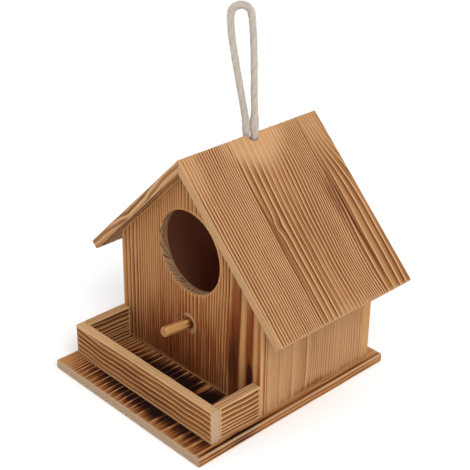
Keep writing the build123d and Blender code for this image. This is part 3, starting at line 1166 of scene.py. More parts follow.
@dataclass
class House:
    """The four walls: two gables that cover the ends of the side walls."""

    palette: Palette

    def gable_blank(self, node: str, outer_y: float, inward: Array) -> Blank:
        """A gable wall: grain upright, cut to the roof's pitch at the top.

        Args:
            node: the CAD node.
            outer_y: where its outer face stands.
            inward: direction into the house.

        Returns:
            The blank, whose nominal length is halfway between its eaves and its peak.
        """
        low, high = node_box(node)
        middle = (low[0] + high[0]) / 2
        eaves = high[2] - (high[0] - low[0]) / 2

        def top(across: Array, depth: Array) -> Array:
            """Height of the roof's underside over a point of the wall."""
            return high[2] - np.abs(low[0] + across - middle) - low[2] + 0.0 * depth

        return Blank(
            origin=np.array([low[0], outer_y, low[2]]),
            along=Z,
            across=X,
            inward=inward,
            length=float(eaves - low[2] + (high[2] - eaves) / 2),
            breadth=float(high[0] - low[0]),
            thickness=float(high[1] - low[1]),
            start=lambda across, depth: 0.0 * across,
            end=top,
        )

    def front_wall(self) -> bpy.types.Object:
        """The gable with the entrance and the perch's countersink.

        Returns:
            The finished wall, with two dark streaks and a pale one between them beside the tray.
        """
        low, high = node_box("front_wall")
        blank = self.gable_blank("front_wall", low[1], Y)
        perch_low, perch_high = node_box("perch")
        wall = Board(
            "front_wall_brushed",
            "front_wall",
            blank,
            Growth(
                pitch=0.0026,
                spacing=(
                    (0.00, 0.0046),
                    (0.09, 0.0050),
                    (0.14, 0.0032),
                    (0.20, 0.0026),
                    (0.44, 0.0027),
                    (0.50, 0.0042),
                    (0.57, 0.0044),
                    (0.62, 0.0026),
                    (0.76, 0.0028),
                    (0.785, 0.0145),
                    (1.00, 0.0140),
                ),
                sway=0.0007,
                sway_reach=0.17,
                tilt=1.0,
                swirls=(Swirl(0.11, 0.128, 0.05, 0.02, -0.003),),
                ridge=0.00050,
                flare=0.17,
                seed=11,
            ),
            scorch=0.13,
            burns=(
                Burn(0.006, 0.088, 0.078, 0.060, 0.30),
                Burn(0.030, 0.098, 0.048, 0.034, 0.12),
                Burn(0.000, 0.042, 0.058, 0.046, 0.30),
                Burn(0.060, 0.1310, 0.074, 0.0074, 0.50),
                Burn(0.052, 0.1476, 0.062, 0.0054, 0.52),
                Burn(0.031, 0.1482, 0.009, 0.0034, 0.55),
                Burn(0.020, 0.1580, 0.078, 0.0026, 0.30),
                Burn(0.030, 0.1403, 0.110, 0.0021, -0.56),
                Burn(0.030, 0.1538, 0.090, 0.0012, -0.46),
                Burn(0.150, 0.080, 0.050, 0.080, -0.22),
                Burn(0.080, 0.006, 0.090, 0.030, -0.24),
            ),
            bare=0.0021,
            breaks=(blank.breadth / 2,),
            bore=Bore(along=0.1085, across=0.0811, radius=0.0335, chamfer=0.0004),
            sink=Sink(PERCH_HEIGHT - low[2], float(perch_low[0] + perch_high[0]) / 2 - low[0], 0.0070, 0.0011),
            inside_scorch=0.3,
            indoors=1.0,
            side_bare=0.15,
            fine_rows=(0.034, 0.058),
        )
        return finish_piece(wall.build(), self.palette.walls, Slot.WALLS, wall.node)

    def back_wall(self) -> bpy.types.Object:
        """The plain gable at the back.

        Returns:
            The finished wall.
        """
        low, high = node_box("back_wall")
        blank = self.gable_blank("back_wall", high[1], -Y)
        wall = Board(
            "back_wall_brushed",
            "back_wall",
            blank,
            Growth(
                pitch=0.0028,
                spacing=((0, 0.0030), (0.25, 0.0036), (0.45, 0.012), (0.6, 0.013), (0.75, 0.0040), (1.0, 0.0026)),
                flare=0.15,
                seed=23,
            ),
            scorch=0.20,
            burns=(Burn(0.02, 0.05, 0.08, 0.05, 0.25), Burn(0.15, 0.08, 0.05, 0.08, -0.2)),
            breaks=(blank.breadth / 2,),
            inside_scorch=0.3,
            indoors=1.0,
            side_bare=0.7,
        )
        return finish_piece(wall.build(), self.palette.walls, Slot.WALLS, wall.node)

    def side_wall(self, node: str, side: int) -> bpy.types.Object:
        """A side wall: grain upright, its top planed to the roof's pitch.

        Args:
            node: the CAD node.
            side: 1 for the wall towards +X, -1 for the other.

        Returns:
            The finished wall, broad bands in front and fine lines behind.
        """
        low, high = node_box(node)
        height, thickness = float(high[2] - low[2]), float(high[0] - low[0])
        outer_x = high[0] if side > 0 else low[0]
        right = side > 0
        spacing = (
            (
                (0.00, 0.0110),
                (0.15, 0.0130),
                (0.28, 0.0160),
                (0.41, 0.0150),
                (0.43, 0.0026),
                (0.56, 0.0023),
                (0.62, 0.0036),
                (0.72, 0.0027),
                (0.84, 0.0026),
                (0.90, 0.0034),
                (1.00, 0.0026),
            )
            if right
            else ((0, 0.0026), (0.4, 0.003), (0.6, 0.009), (1.0, 0.010))
        )
        wall = Board(
            f"{node}_brushed",
            node,
            Blank(
                origin=np.array([outer_x, low[1], low[2]]),
                along=Z,
                across=Y,
                inward=-side * X,
                length=height - thickness / 2,
                breadth=float(high[1] - low[1]),
                thickness=thickness,
                start=lambda across, depth: 0.0 * across,
                end=lambda across, depth: height - thickness + depth + 0.0 * across,
            ),
            Growth(pitch=0.0025, spacing=spacing, sway=0.0008, ridge=0.0005, flare=0.05, seed=31 if right else 37),
            scorch=0.0,
            burns=(
                Burn(0.000, 0.060, 0.0075, 0.070, 0.52),
                Burn(0.045, 0.0510, 0.075, 0.0110, 0.24),
                Burn(0.045, 0.0140, 0.060, 0.0014, 0.20),
                Burn(0.060, 0.0215, 0.070, 0.006, -0.25),
                Burn(0.050, 0.0050, 0.070, 0.007, -0.20),
                Burn(0.040, 0.076, 0.060, 0.006, -0.15),
            ),
            relief=Relief.LIGHT,
            inside_scorch=0.3,
            indoors=1.0,
        )
        return finish_piece(wall.build(), self.palette.sides, Slot.WALLS, wall.node)

    def build(self) -> list[bpy.types.Object]:
        """All four walls."""
        gables = [self.front_wall(), self.back_wall()]
        return gables + [self.side_wall("right_wall", 1), self.side_wall("left_wall", -1)]


@dataclass
class Roof:
    """Two panels that meet in a mitre, with one hole for the rope through both."""

    palette: Palette
    hole_radius: float = 0.00585
    slope_length: float = 0.1525

    def panel(self, node: str, side: int, growth: Growth, burns: tuple[Burn, ...]) -> bpy.types.Object:
        """One panel: grain down the slope, a mitre at the ridge, a scoop where the rope's hole passes.

        Args:
            node: the CAD node.
            side: 1 for the panel towards +X, -1 for the other.
            growth: its rings.
            burns: its scorched patches.

        Returns:
            The finished panel.
        """
        low, high = node_box(node)
        wall_low, wall_high = node_box("back_wall")
        slope = math.sqrt(0.5)
        hole_x, hole_y = ROPE_HOLE
        middle = hole_y - low[1]

        def start(across: Array, depth: Array) -> Array:
            """The mitre, or the hole's wall where the hole bites into the panel."""
            mitre = depth + 0.0 * across
            chord = np.sqrt(np.maximum(self.hole_radius**2 - (across - middle) ** 2, 0.0))
            bite = np.where(chord > 0, np.maximum(chord + side * hole_x, 0.0), 0.0)
            return mitre + bite / slope

        panel = Board(
            f"{node}_brushed",
            node,
            Blank(
                origin=np.array([0.0, low[1], high[2]]),
                along=np.array([side * slope, 0.0, -slope]),
                across=Y,
                inward=np.array([-side * slope, 0.0, -slope]),
                length=self.slope_length,
                breadth=float(high[1] - low[1]),
                thickness=float(wall_high[1] - wall_low[1]),
                start=start,
                end=lambda across, depth: self.slope_length + 0.0 * across,
            ),
            growth,
            scorch=0.10,
            burns=burns,
            relief=Relief.DEEP,
            row=0.0018,
            breaks=(middle - self.hole_radius, middle + self.hole_radius),
            bare=0.0012,
            inside_scorch=0.25,
            side_bare=0.75 if side > 0 else 0.2,
        )
        return finish_piece(panel.build(), self.palette.roof, Slot.ROOF, node)

    def build(self) -> list[bpy.types.Object]:
        """Both panels, washed pale on both sides of the rope's hole.

        Returns:
            The right panel and the left one.
        """
        right = Growth(
            pitch=0.0019,
            spacing=(
                (0.00, 0.0031),
                (0.16, 0.0024),
                (0.26, 0.0019),
                (0.32, 0.0019),
                (0.335, 0.0056),
                (0.44, 0.0050),
                (0.58, 0.0043),
                (0.68, 0.0034),
                (0.72, 0.0022),
                (0.825, 0.0020),
                (0.84, 0.0052),
                (0.90, 0.0070),
                (1.00, 0.0068),
            ),
            sway=0.0006,
            sway_reach=0.15,
            lean=0.016,
            swirls=(
                Swirl(0.000, 0.073, 0.046, 0.030, -0.0056),
                Swirl(0.073, 0.0518, 0.0062, 0.0046, 0.0022),
                Swirl(0.118, 0.100, 0.046, 0.020, 0.0058),
            ),
            fans=(Fan(0.0, 0.040, 0.1195, 1.15),),
            ridge=0.00050,
            flare=0.06,
            seed=5,
        )
        left = Growth(
            pitch=0.0024,
            spacing=((0, 0.0026), (0.3, 0.0030), (0.5, 0.010), (0.66, 0.012), (0.8, 0.0040), (1.0, 0.0026)),
            sway=0.0020,
            sway_reach=0.17,
            flare=0.10,
            seed=8,
        )
        pale_ridge = (Burn(0.0, 0.068, 0.023, 0.034, -0.36), Burn(0.0, 0.074, 0.050, 0.030, -0.30))
        right_burns = (
            *pale_ridge,
            Burn(0.080, 0.0468, 0.085, 0.0010, 0.46),
            Burn(0.085, 0.1203, 0.072, 0.0011, 0.50),
            Burn(0.074, 0.1140, 0.062, 0.0080, 0.30),
            Burn(0.082, 0.1030, 0.046, 0.0160, 0.12),
            Burn(0.090, 0.0380, 0.060, 0.0120, 0.18),
            Burn(0.078, 0.0750, 0.036, 0.0220, 0.14),
            Burn(0.100, 0.1440, 0.060, 0.0050, 0.12),
            Burn(0.000, 0.1300, 0.050, 0.0240, -0.34),
            Burn(0.075, 0.0565, 0.006, 0.0080, -0.22),
            Burn(0.155, 0.0800, 0.016, 0.0800, -0.25),
            Burn(0.000, 0.0050, 0.045, 0.0160, -0.35),
        )
        return [
            self.panel("right_roof_panel", 1, right, right_burns),
            self.panel("left_roof_panel", -1, left, (*pale_ridge, Burn(0.12, 0.04, 0.05, 0.05, 0.25))),
        ]


@dataclass
class Tray:
    """The base board and the three rails that make the landing tray."""

    palette: Palette

    def straight_blank(self, node: str, along: Array, across: Array, inward: Array) -> Blank:
        """A square-ended board with its outer face opposite the inward direction.

        Args:
            node: the CAD node.
            along, across, inward: unit directions of the grain, the breadth and the thickness.

        Returns:
            The blank, with its first corner on the outer face.
        """
        low, high = node_box(node)
        size = high - low
        directions = along + across + inward
        origin = np.where(directions > 0, low, high)
        length = float(size @ np.abs(along))
        return Blank(
            origin=origin,
            along=along,
            across=across,
            inward=inward,
            length=length,
            breadth=float(size @ np.abs(across)),
            thickness=float(size @ np.abs(inward)),
            start=lambda b, c: 0.0 * b,
            end=lambda b, c: length + 0.0 * b,
        )

    def base_board(self) -> bpy.types.Object:
        """The base: grain front to back, charred in the tray and along the front rail, paler outside, and lightened
        beside the right wall's foot, partly as painted light against the shade there.

        Returns:
            The finished board.
        """
        board = Board(
            "base_board_charred",
            "base_board",
            self.straight_blank("base_board", Y, X, -Z),
            Growth(
                pitch=0.0028,
                spacing=(
                    (0.00, 0.0030),
                    (0.12, 0.0032),
                    (0.20, 0.0064),
                    (0.50, 0.0060),
                    (0.62, 0.0140),
                    (0.90, 0.0130),
                    (1.00, 0.0060),
                ),
                sway=0.0010,
                flare=0.05,
                seed=41,
            ),
            scorch=0.10,
            burns=(
                Burn(0.044, 0.104, 0.022, 0.074, 1.45),
                Burn(0.0150, 0.092, 0.0090, 0.078, 0.90),
                Burn(0.0060, 0.004, 0.0200, 0.016, -0.50),
                Burn(0.0575, 0.1095, 0.020, 0.0030, -1.2),
                Burn(0.080, 0.1684, 0.150, 0.0010, 0.55),
                # These two pale patches by the right wall's foot are partly paler wood and partly painted light that
                # lifts the shade at the foot of the wall.
                Burn(0.150, 0.1662, 0.110, 0.0014, -0.45),
                Burn(0.200, 0.1600, 0.030, 0.0140, -0.60),
            ),
            relief=Relief.MEDIUM,
            arris=0.0013,
            bare=0.0020,
            inside_scorch=0.2,
        )
        return finish_piece(board.build(), self.palette.base, Slot.BASE, board.node)

    def front_rail(self) -> bpy.types.Object:
        """The front rail: grain along it, wavy broad bands on its face, a pale top.

        Returns:
            The finished rail.
        """
        board = Board(
            "tray_front_rail_brushed",
            "tray_front_rail",
            self.straight_blank("tray_front_rail", X, Z, Y),
            Growth(
                pitch=0.0026,
                spacing=((0, 0.0036), (0.3, 0.0044), (0.6, 0.0050), (0.85, 0.0046), (1.0, 0.0042)),
                sway=0.0014,
                sway_reach=0.13,
                lean=0.010,
                ridge=0.00042,
                flare=0.07,
                seed=47,
            ),
            scorch=0.16,
            burns=(
                Burn(0.070, 0.0140, 0.075, 0.009, 0.20),
                Burn(0.160, 0.0200, 0.030, 0.030, -0.25),
                Burn(0.012, 0.0285, 0.045, 0.0034, -0.60),
                Burn(0.080, 0.0000, 0.120, 0.0045, -0.45),
            ),
            relief=Relief.DEEP,
            row=0.0020,
            bare=0.0014,
            inside_scorch=0.25,
            side_bare=0.9,
        )
        return finish_piece(board.build(), self.palette.rails, Slot.RAILS, board.node)

    def side_rail(self, node: str, side: int) -> bpy.types.Object:
        """A side rail: grain front to back.

        Args:
            node: the CAD node.
            side: 1 for the rail towards +X, -1 for the other.

        Returns:
            The finished rail.
        """
        board = Board(
            f"{node}_brushed",
            node,
            self.straight_blank(node, Y, Z, -side * X),
            Growth(
                pitch=0.0024,
                spacing=((0, 0.0028), (0.3, 0.0030), (0.6, 0.0042), (1.0, 0.0052)),
                sway=0.0006,
                lean=0.02,
                flare=0.10,
                seed=53 if side > 0 else 59,
            ),
            scorch=0.14,
            burns=(
                Burn(0.030, 0.007, 0.020, 0.004, 0.30),
                Burn(0.045, 0.014, 0.014, 0.014, 0.14),
                Burn(0.000, 0.014, 0.010, 0.030, -0.25),
            ),
            relief=Relief.DEEP,
            row=0.0016,
            inside_scorch=0.25,
            side_bare=0.35,
        )
        return finish_piece(board.build(), self.palette.rails, Slot.RAILS, board.node)

    def build(self) -> list[bpy.types.Object]:
        """The base board and the rails."""
        return [
            self.base_board(),
            self.front_rail(),
            self.side_rail("tray_right_rail", 1),
            self.side_rail("tray_left_rail", -1),
        ]


@dataclass
class Perch:
    """The dowel: a turned rod with shallow cracks along it, a chamfered nose, and scorch towards the wall.

    radius, reach, inside: its size, and how far it stands out of the front wall and into the house.
    tilt: degrees that its nose is raised.
    chamfer, ring: width of the chamfer, and distance between its year rings.
    flats: how many flats its outline has.
    sides, body_rows: lattice lines round it and along it.
    heart: where the tree's middle was, beside its axis.
    cracks: (angle, width, depth) of each crack, the depth as a share of the radius.
    """

    palette: Palette
    radius: float = 0.00425
    tilt: float = 6.0
    inside: float = 0.0030
    reach: float = 0.0255
    chamfer: float = 0.0010
    ring: float = 0.0031
    flats: int = 7
    sides: int = 72
    body_rows: int = 40
    heart: tuple[float, float] = (0.012, 0.009)
    cracks: tuple[tuple[float, float, float], ...] = ((1.2, 0.09, 0.08), (2.6, 0.07, 0.06), (4.4, 0.10, 0.07))

    def unevenness(self, s: Array, t: Array) -> tuple[Array, Array]:
        """Shares of the radius at station s and angle t.

        The dowel's outline is the least of its flats, d over the cosine of the angle from the flat's middle, never
        past the plain radius. Each crack is a bell across the angle, and its place wanders along the dowel.

        Args:
            s, t: stations and angles on a grid.

        Returns:
            The outline's share of the radius, and the share that the cracks take away.
        """
        rng = np.random.default_rng(3)
        middles = np.linspace(0.0, 2 * math.pi, self.flats, endpoint=False) + rng.uniform(-0.14, 0.14, self.flats)
        drops = rng.uniform(0.89, 0.95, self.flats)
        turn = (t[..., None] - middles + 0.06 * np.sin(s * 110)[..., None] + math.pi) % (2 * math.pi) - math.pi
        half, none = 1.2, 9.0
        flats = np.where(np.abs(turn) < half, drops / np.cos(np.clip(turn, -half, half)), none)
        drift = 0.25 * np.sin(s * 90)
        cracks = sum(deep * np.exp(-(((t - place + drift) / wide) ** 2)) for place, wide, deep in self.cracks)
        return np.minimum(np.min(flats, axis=-1), 0.995), cracks

    def build(self) -> bpy.types.Object:
        """Sweep the uneven outline along the dowel's axis, and close both ends to a point.

        Returns:
            The finished dowel.
        """
        wall_low, wall_high = node_box("front_wall")
        low, high = node_box("perch")
        angle = math.radians(self.tilt)
        axis = np.array([0.0, -math.cos(angle), math.sin(angle)])
        seat = np.array([(low[0] + high[0]) / 2, wall_low[1], PERCH_HEIGHT])
        first, last = -float(wall_high[1] - wall_low[1]) - self.inside, self.reach
        body = np.linspace(first, last - self.chamfer, self.body_rows)
        stations = np.concatenate([[first, first], body, [last - 0.5 * self.chamfer, last, last, last, last]])
        shares = np.concatenate([[0.0, 0.8], np.ones(self.body_rows), [0.93, 0.80, 0.55, 0.28, 0.0]])
        turns = np.linspace(0.0, 2 * math.pi, self.sides, endpoint=False)
        s, t = np.meshgrid(stations, turns, indexing="ij")
        share = np.repeat(shares[:, None], len(turns), axis=1)
        outline, cracks = self.unevenness(s, t)
        radius = self.radius * share * outline * (1 - cracks * (share > 0.7))
        side = X[None, None] * np.cos(t)[..., None]
        up = np.cross(axis, X)
        points = seat + s[..., None] * axis + radius[..., None] * (side + up * np.sin(t)[..., None])
        across = self.radius * np.cos(t) * share
        depth = self.radius * np.sin(t) * share
        rings = np.hypot(across + self.heart[0], depth + self.heart[1]) / self.ring
        on_end = smooth(0.97, 1.0, (s - first) / (last - first)) * (share < 0.99)
        values = {
            "ring": rings.ravel(),
            "span": np.full(rings.size, self.ring),
            "ridge": np.full(rings.size, 0.0006),
            "indoors": np.zeros(rings.size),
            "scorch": (0.05 + 0.85 * (1 - smooth(-0.001, 0.008, s))).ravel(),
            "bare": (0.5 * smooth(0.9 * last, last, s)).ravel(),
            "end_grain": on_end.ravel(),
            "grain": np.stack([s, across, depth], -1).reshape(-1, 3),
        }
        piece = make_mesh("perch_turned", points.reshape(-1, 3), tube_faces(*t.shape), values)
        close_poles(piece)
        return finish_piece(piece, self.palette.perch, Slot.PERCH, "perch")


# ---------------------------------------------------------------- the rope


@dataclass
class HangingRope:
    """The rope: up from the knot through the ridge, round the standing loop and back down.

    diameter, strands, lay_length: its size, and the length in which a strand goes once round it.
    yarns, yarn_lay: how many yarns show round it, and the length in which one goes once round.
    run: distance from the hole's middle to each run of the rope.
    pivot_height, bend: where the loop would begin to fold over, and the height over which it would bend; not used.
    turn: degrees from the X axis to the loop's upright plane.
    station, sides: lattice spacing along the rope, and lattice lines round it.
    wisps: how many loose fibres stand off the loop.
    route: control points (distance from the hole's middle along the plane, height) of its centreline.
    """

    diameter: float = 0.0055
    strands: int = 3
    lay_length: float = 0.034
    yarns: int = 15
    yarn_lay: float = 0.0075
    run: float = 0.00295
    pivot_height: float = 0.198
    bend: tuple[float, float] = (-0.002, 0.010)
    turn: float = 50.0
    station: float = 0.00075
    sides: int = 48
    wisps: int = 1400
    route: tuple[tuple[float, float], ...] = (
        (-0.00295, 0.1760),
        (-0.00295, 0.1980),
        (-0.0037, 0.2060),
        (-0.0077, 0.2280),
        (-0.0126, 0.2560),
        (-0.0153, 0.2740),
        (-0.0157, 0.2875),
        (-0.0128, 0.2915),
        (-0.0081, 0.2930),
        (-0.0034, 0.2915),
        (-0.0005, 0.2875),
        (0.0010, 0.2720),
        (0.0020, 0.2500),
        (0.0024, 0.2260),
        (0.0032, 0.2060),
        (0.00295, 0.1980),
        (0.00295, 0.1760),
    )

    def beside_hole(self, distance: float, height: float, off: float = 0.0) -> tuple[float, float, float]:
        """A point in the loop's upright plane, or the given distance off it.

        Args:
            distance: from the hole's middle, along the plane.
            height: above the base board's underside.
            off: out of the plane.

        Returns:
            The point's x, y and z.
        """
        turn = math.radians(self.turn)
        x = ROPE_HOLE[0] + distance * math.cos(turn) - off * math.sin(turn)
        y = ROPE_HOLE[1] + distance * math.sin(turn) + off * math.cos(turn)
        return x, y, height

    def centreline(self, points: Array, name: str) -> Array:
        """Points along a smooth NURBS line that has the given control points.

        Args:
            points: the control points.
            name: a name for the line while it is read.

        Returns:
            The points that Blender draws the line through.
        """
        curve = bpy.data.curves.new(name, "CURVE")
        curve.dimensions = "3D"
        spline = curve.splines.new("NURBS")
        spline.points.add(len(points) - 1)
        spline.points.foreach_set("co", np.column_stack([points, np.ones(len(points))]).ravel())
        spline.order_u = 3
        spline.use_endpoint_u = True
        spline.resolution_u = 24
        holder = bpy.data.objects.new(name, curve)
        bpy.context.scene.collection.objects.link(holder)
        bpy.context.view_layer.update()
        line = bpy.data.meshes.new_from_object(holder.evaluated_get(bpy.context.evaluated_depsgraph_get()))
        sampled = np.array([v.co for v in line.vertices], float)
        bpy.data.objects.remove(holder)
        bpy.data.curves.remove(curve)
        bpy.data.meshes.remove(line)
        return sampled

    def tube(self, name: str, line: Array, spread: Callable[[Array], Array], pole: Array) -> bpy.types.Object:
        """A twisted rope round a line.

        At angle t round the line and distance s along it, three strands bulge as the cosine of the angle from
        the nearest strand, finer yarns lie in each strand at a steeper angle, and slow and quick random lines make
        the worn rope lumpy; the ends close to a point.

        Args:
            name: the piece's name.
            line: points of the centreline.
            spread: how much thicker the rope is at each distance, as a factor.
            pole: a direction off the line's plane, which the angle is counted from.

        Returns:
            The closed tube, with its yarn and lay values stored.
        """
        steps = np.linalg.norm(np.diff(line, axis=0), axis=1)
        distance = np.concatenate([[0.0], np.cumsum(steps)])
        stations = np.linspace(0.0, distance[-1], max(24, round(distance[-1] / self.station)))
        centre = np.stack([np.interp(stations, distance, line[:, k]) for k in range(3)], 1)
        tangent = np.gradient(centre, axis=0)
        tangent /= np.linalg.norm(tangent, axis=1, keepdims=True)
        normal = np.cross(tangent, pole)
        normal /= np.linalg.norm(normal, axis=1, keepdims=True)
        binormal = np.cross(tangent, normal)
        turns = np.linspace(0.0, 2 * math.pi, self.sides, endpoint=False)
        s, t = np.meshgrid(stations, turns, indexing="ij")
        rng = np.random.default_rng(17)
        twist = t - 2 * math.pi * s / self.lay_length + 0.5 * wander(s, 0.05, rng)
        strand = np.abs(np.cos(self.strands * twist / 2))
        yarn = 0.5 + 0.5 * np.cos(self.yarns * twist + 2 * math.pi * s / self.yarn_lay)
        lumps = wander(s + 0.0011 * np.cos(t), 0.019, rng)
        grit = wander(s + 0.0023 * np.sin(t), 0.0062, rng) + wander(s - 0.0031 * np.cos(t), 0.0047, rng)
        worn = 0.930 + 0.008 * strand**0.7 + 0.010 * yarn + 0.048 * lumps + 0.032 * grit
        closing = np.sqrt(np.clip(np.minimum(s, stations[-1] - s) / (0.3 * self.diameter), 0.0, 1.0))
        radius = self.diameter / 2 * spread(s) * worn * closing
        points = (
            centre[:, None]
            + radius[..., None] * (np.cos(t)[..., None] * normal[:, None] + np.sin(t)[..., None] * binormal[:, None])
        )
        # The yarn value sets where the colour darkens between the strands, as painted shade in the grooves.
        values = {
            "yarn": (0.7 * strand + 0.3 * yarn).ravel(),
            "lay": np.stack([s, self.strands * twist / math.pi, 0 * s], -1).reshape(-1, 3),
        }
        piece = make_mesh(name, points.reshape(-1, 3), tube_faces(*t.shape), values)
        close_poles(piece)
        return piece

    def fuzz(self, line: Array) -> bpy.types.Object:
        """Loose fibres on the standing loop.

        Each is a thin three-sided wisp: at share v of its length it stands v outwards from the rope and v squared
        along it, so that it bends over, and it tapers to a point at both ends.

        Args:
            line: points of the rope's centreline.

        Returns:
            All the wisps as one mesh object.
        """
        rng = np.random.default_rng(29)
        taper = np.array([0.0, 1.0, 0.8, 0.5, 0.0])
        count, rings, ends_left_out = self.wisps, len(taper), 30
        pick = rng.integers(ends_left_out, len(line) - ends_left_out, count)
        out = rng.normal(size=(count, 3))
        out /= np.linalg.norm(out, axis=1, keepdims=True)
        along = line[np.minimum(pick + 3, len(line) - 1)] - line[pick - 3]
        along /= np.linalg.norm(along, axis=1, keepdims=True)
        out -= along * np.sum(out * along, 1, keepdims=True)
        out /= np.linalg.norm(out, axis=1, keepdims=True)
        length = rng.uniform(0.0012, 0.0034, count)[:, None, None]
        drift = (along * rng.choice((-1.0, 1.0), (count, 1)))[:, None]
        share = np.linspace(0.0, 1.0, rings)[None, :, None]
        root = (line[pick] + out * self.diameter * 0.40)[:, None]
        spine = root + length * (share * 0.55 * out[:, None] + share**2 * 0.8 * drift)
        side = np.cross(out, along)[:, None]
        thick = 0.00006 * taper[None, :, None]
        angles = np.arange(3) * 2 * math.pi / 3
        around = np.cos(angles)[:, None] * side[:, :, None] + np.sin(angles)[:, None] * out[:, None, None]
        points = spine[:, :, None] + thick[..., None] * around
        ids = np.arange(count * rings * 3).reshape(count, rings, 3)
        wrapped = np.concatenate([ids, ids[..., :1]], 2)
        ring = (wrapped[:, :-1, :-1], wrapped[:, :-1, 1:], wrapped[:, 1:, 1:], wrapped[:, 1:, :-1])
        faces = np.stack(ring, -1)
        values = {"yarn": np.full(ids.size, 0.9), "lay": np.zeros((ids.size, 3))}
        piece = make_mesh("rope_fuzz", points.reshape(-1, 3), faces.reshape(-1, 4), values)
        close_poles(piece)
        return piece

    def knot_line(self) -> Array:
        """Centreline of the knot under the ridge: one trefoil, as an overhand knot pulled up tight.

        At angle t the trefoil stands (2 + cos 3t) / 3 of its reach out at the angle 2t, and rises as sin 3t.

        Returns:
            Points along it, back to the first one.
        """
        low, high = node_box("cord_knot")
        reach, below_top, rise = 0.0064, 0.0092, 0.0036
        t = np.linspace(0.0, 2 * math.pi, 260)
        out = reach * (2.0 + np.cos(3 * t)) / 3.0
        x = (low[0] + high[0]) / 2 + out * np.cos(2 * t)
        y = ROPE_HOLE[1] + out * np.sin(2 * t)
        z = high[2] - below_top + rise * np.sin(3 * t)
        return np.stack([x, y, z], 1)

    def build(self, material: bpy.types.Material) -> list[bpy.types.Object]:
        """The rope, its loose fibres, its knot and its two short ends.

        The knot and the ends ride on the house. The rope and its fibres are baked in place.

        Args:
            material: the rope's finish.

        Returns:
            The five pieces.
        """
        line = self.centreline(np.array([self.beside_hole(*place) for place in self.route]), "rope_line")
        total = float(np.linalg.norm(np.diff(line, axis=0), axis=1).sum())
        loosened = 0.0250

        def thicker_at_the_roof(s: Array) -> Array:
            """The rope is worked loose just above the ridge on both sides."""
            left = np.exp(-(((s - loosened) / 0.0046) ** 2))
            right = np.exp(-(((total - s - loosened) / 0.0062) ** 2))
            return 1.0 + 0.24 * left + 0.38 * right

        off_plane = np.array(self.beside_hole(0, 0, 1)) - np.array(self.beside_hole(0, 0, 0))
        rope = self.tube("hanging_rope", line, thicker_at_the_roof, off_plane)
        finish_piece(rope, material, Slot.ROPE, "hanging_cord", "cord_runs")
        fuzz = finish_piece(self.fuzz(line), material, Slot.ROPE)
        knot = self.tube("rope_knot", self.knot_line(), lambda s: 0.92 + 0 * s, Z)
        finish_piece(knot, material, Slot.ROPE, "cord_knot")
        ends = []
        lowest = float(node_box("cord_knot")[0][2]) + 0.0004
        for number, distance in enumerate((-self.run, self.run), start=1):
            drop = ((distance, 0.1690), (1.1 * distance, 0.1600), (1.25 * distance, lowest))
            sag = self.centreline(np.array([self.beside_hole(*place) for place in drop]), "end_line")
            end = self.tube(f"rope_end_{number}", sag, lambda s: 0.98 + 0 * s, off_plane)
            ends.append(finish_piece(end, material, Slot.ROPE))
        for piece in (knot, *ends):
            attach(piece, HOUSE)
        for piece in (rope, fuzz):
            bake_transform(piece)
        return [rope, fuzz, knot, *ends]


# ---------------------------------------------------------------- studio


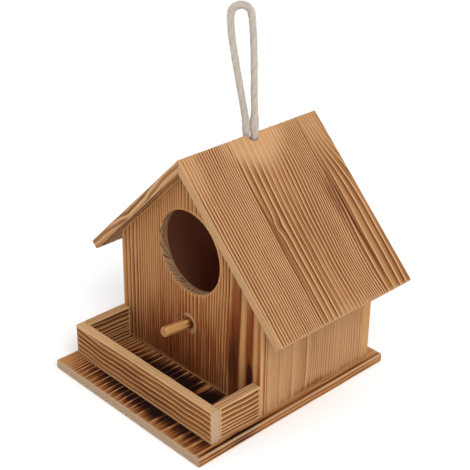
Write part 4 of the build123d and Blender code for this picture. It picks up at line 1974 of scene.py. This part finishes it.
@dataclass(frozen=True)
class Studio:
    """Camera, pale floor and soft light."""

    azimuth: float = 46.12
    elevation: float = 27.98
    roll: float = 0.77
    distance: float = 0.9238
    target: tuple[float, float, float] = (-0.0161, 0.0300, 0.1018)
    lens: float = 89.14
    floor_reach: float = 6.0
    floor_gap: float = 0.0002

    def camera(self) -> None:
        """Place the camera on a sphere round its target."""
        a, e, r = (math.radians(v) for v in (self.azimuth, self.elevation, self.roll))
        back = Vector((math.sin(a) * math.cos(e), -math.cos(a) * math.cos(e), math.sin(e)))
        right = (-back).cross(Vector((0, 0, 1))).normalized()
        up = right.cross(-back)
        right, up = right * math.cos(r) + up * math.sin(r), up * math.cos(r) - right * math.sin(r)
        data = bpy.data.cameras.new("camera")
        data.lens, data.sensor_width = self.lens, 36.0
        camera = bpy.data.objects.new("camera", data)
        place = Vector(self.target) + back * self.distance
        camera.matrix_world = Matrix.Translation(place) @ Matrix((right, up, back)).transposed().to_4x4()
        bpy.context.scene.collection.objects.link(camera)
        bpy.context.scene.camera = camera

    def floor(self) -> None:
        """A wide pale floor under the base board."""
        corners = ((-1, -1), (1, -1), (1, 1), (-1, 1))
        grid = np.array([(self.floor_reach * x, self.floor_reach * y, -self.floor_gap) for x, y in corners])
        floor = make_mesh("studio_floor", grid, np.array([[0, 1, 2, 3]]))
        made = bpy.data.materials.new("studio_floor")
        made.use_nodes = True
        shader = made.node_tree.nodes["Principled BSDF"]
        shader.inputs["Base Color"].default_value = (0.86, 0.86, 0.86, 1)
        shader.inputs["Roughness"].default_value = 0.9
        shader.inputs["Emission Color"].default_value = (1.0, 1.0, 1.0, 1)
        shader.inputs["Emission Strength"].default_value = 0.22
        floor.data.materials.append(made)

    def lamp(self, name: str, place: tuple[float, float, float], size: float, power: float) -> None:
        """A square soft light that points at the feeder."""
        data = bpy.data.lights.new(name, "AREA")
        data.energy, data.size = power, size
        lamp = bpy.data.objects.new(name, data)
        aim = Vector(self.target) - Vector(place)
        lamp.matrix_world = Matrix.Translation(Vector(place)) @ aim.to_track_quat("-Z", "Y").to_matrix().to_4x4()
        bpy.context.scene.collection.objects.link(lamp)

    def build(self) -> None:
        """Set up the whole studio."""
        scene = bpy.context.scene
        scene.view_settings.view_transform = "Standard"
        world = bpy.data.worlds.new("studio_world")
        world.use_nodes = True
        world.node_tree.nodes["Background"].inputs["Color"].default_value = (1.0, 1.0, 1.0, 1)
        world.node_tree.nodes["Background"].inputs["Strength"].default_value = 0.62
        scene.world = world
        self.camera()
        self.floor()
        self.lamp("key", (1.5, -0.5, 1.6), 1.3, 26.0)
        self.lamp("fill", (-1.2, -1.8, 1.1), 1.6, 9.0)
        self.lamp("back", (0.2, 1.6, 1.7), 1.4, 9.0)


def dress_brads() -> None:
    """Give the hidden brads their steel, in place on their CAD nodes."""
    steel = brad_material()
    for name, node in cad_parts.items():
        if name.endswith("_brads"):
            node.data.materials.clear()
            node.data.materials.append(steel)
            LOG.info("%s: dressed in %s", name, steel.name)


def main() -> None:
    """Build the studio and the feeder, and say what rides on what."""
    logging.basicConfig(level=logging.INFO, format="%(name)s: %(message)s")
    Studio().build()
    rope = HangingRope().build(CottonRope().material())
    palette = Palette(scorched_pine_group(ring_lines_group(), fibres_group()))
    wood = [*House(palette).build(), *Roof(palette).build(), *Tray(palette).build(), Perch(palette).build()]
    for piece in wood:
        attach(piece, HOUSE)
    dress_brads()
    LOG.info("%d rope pieces, %d wooden pieces", len(rope), len(wood))


if __name__ == "__main__":
    main()
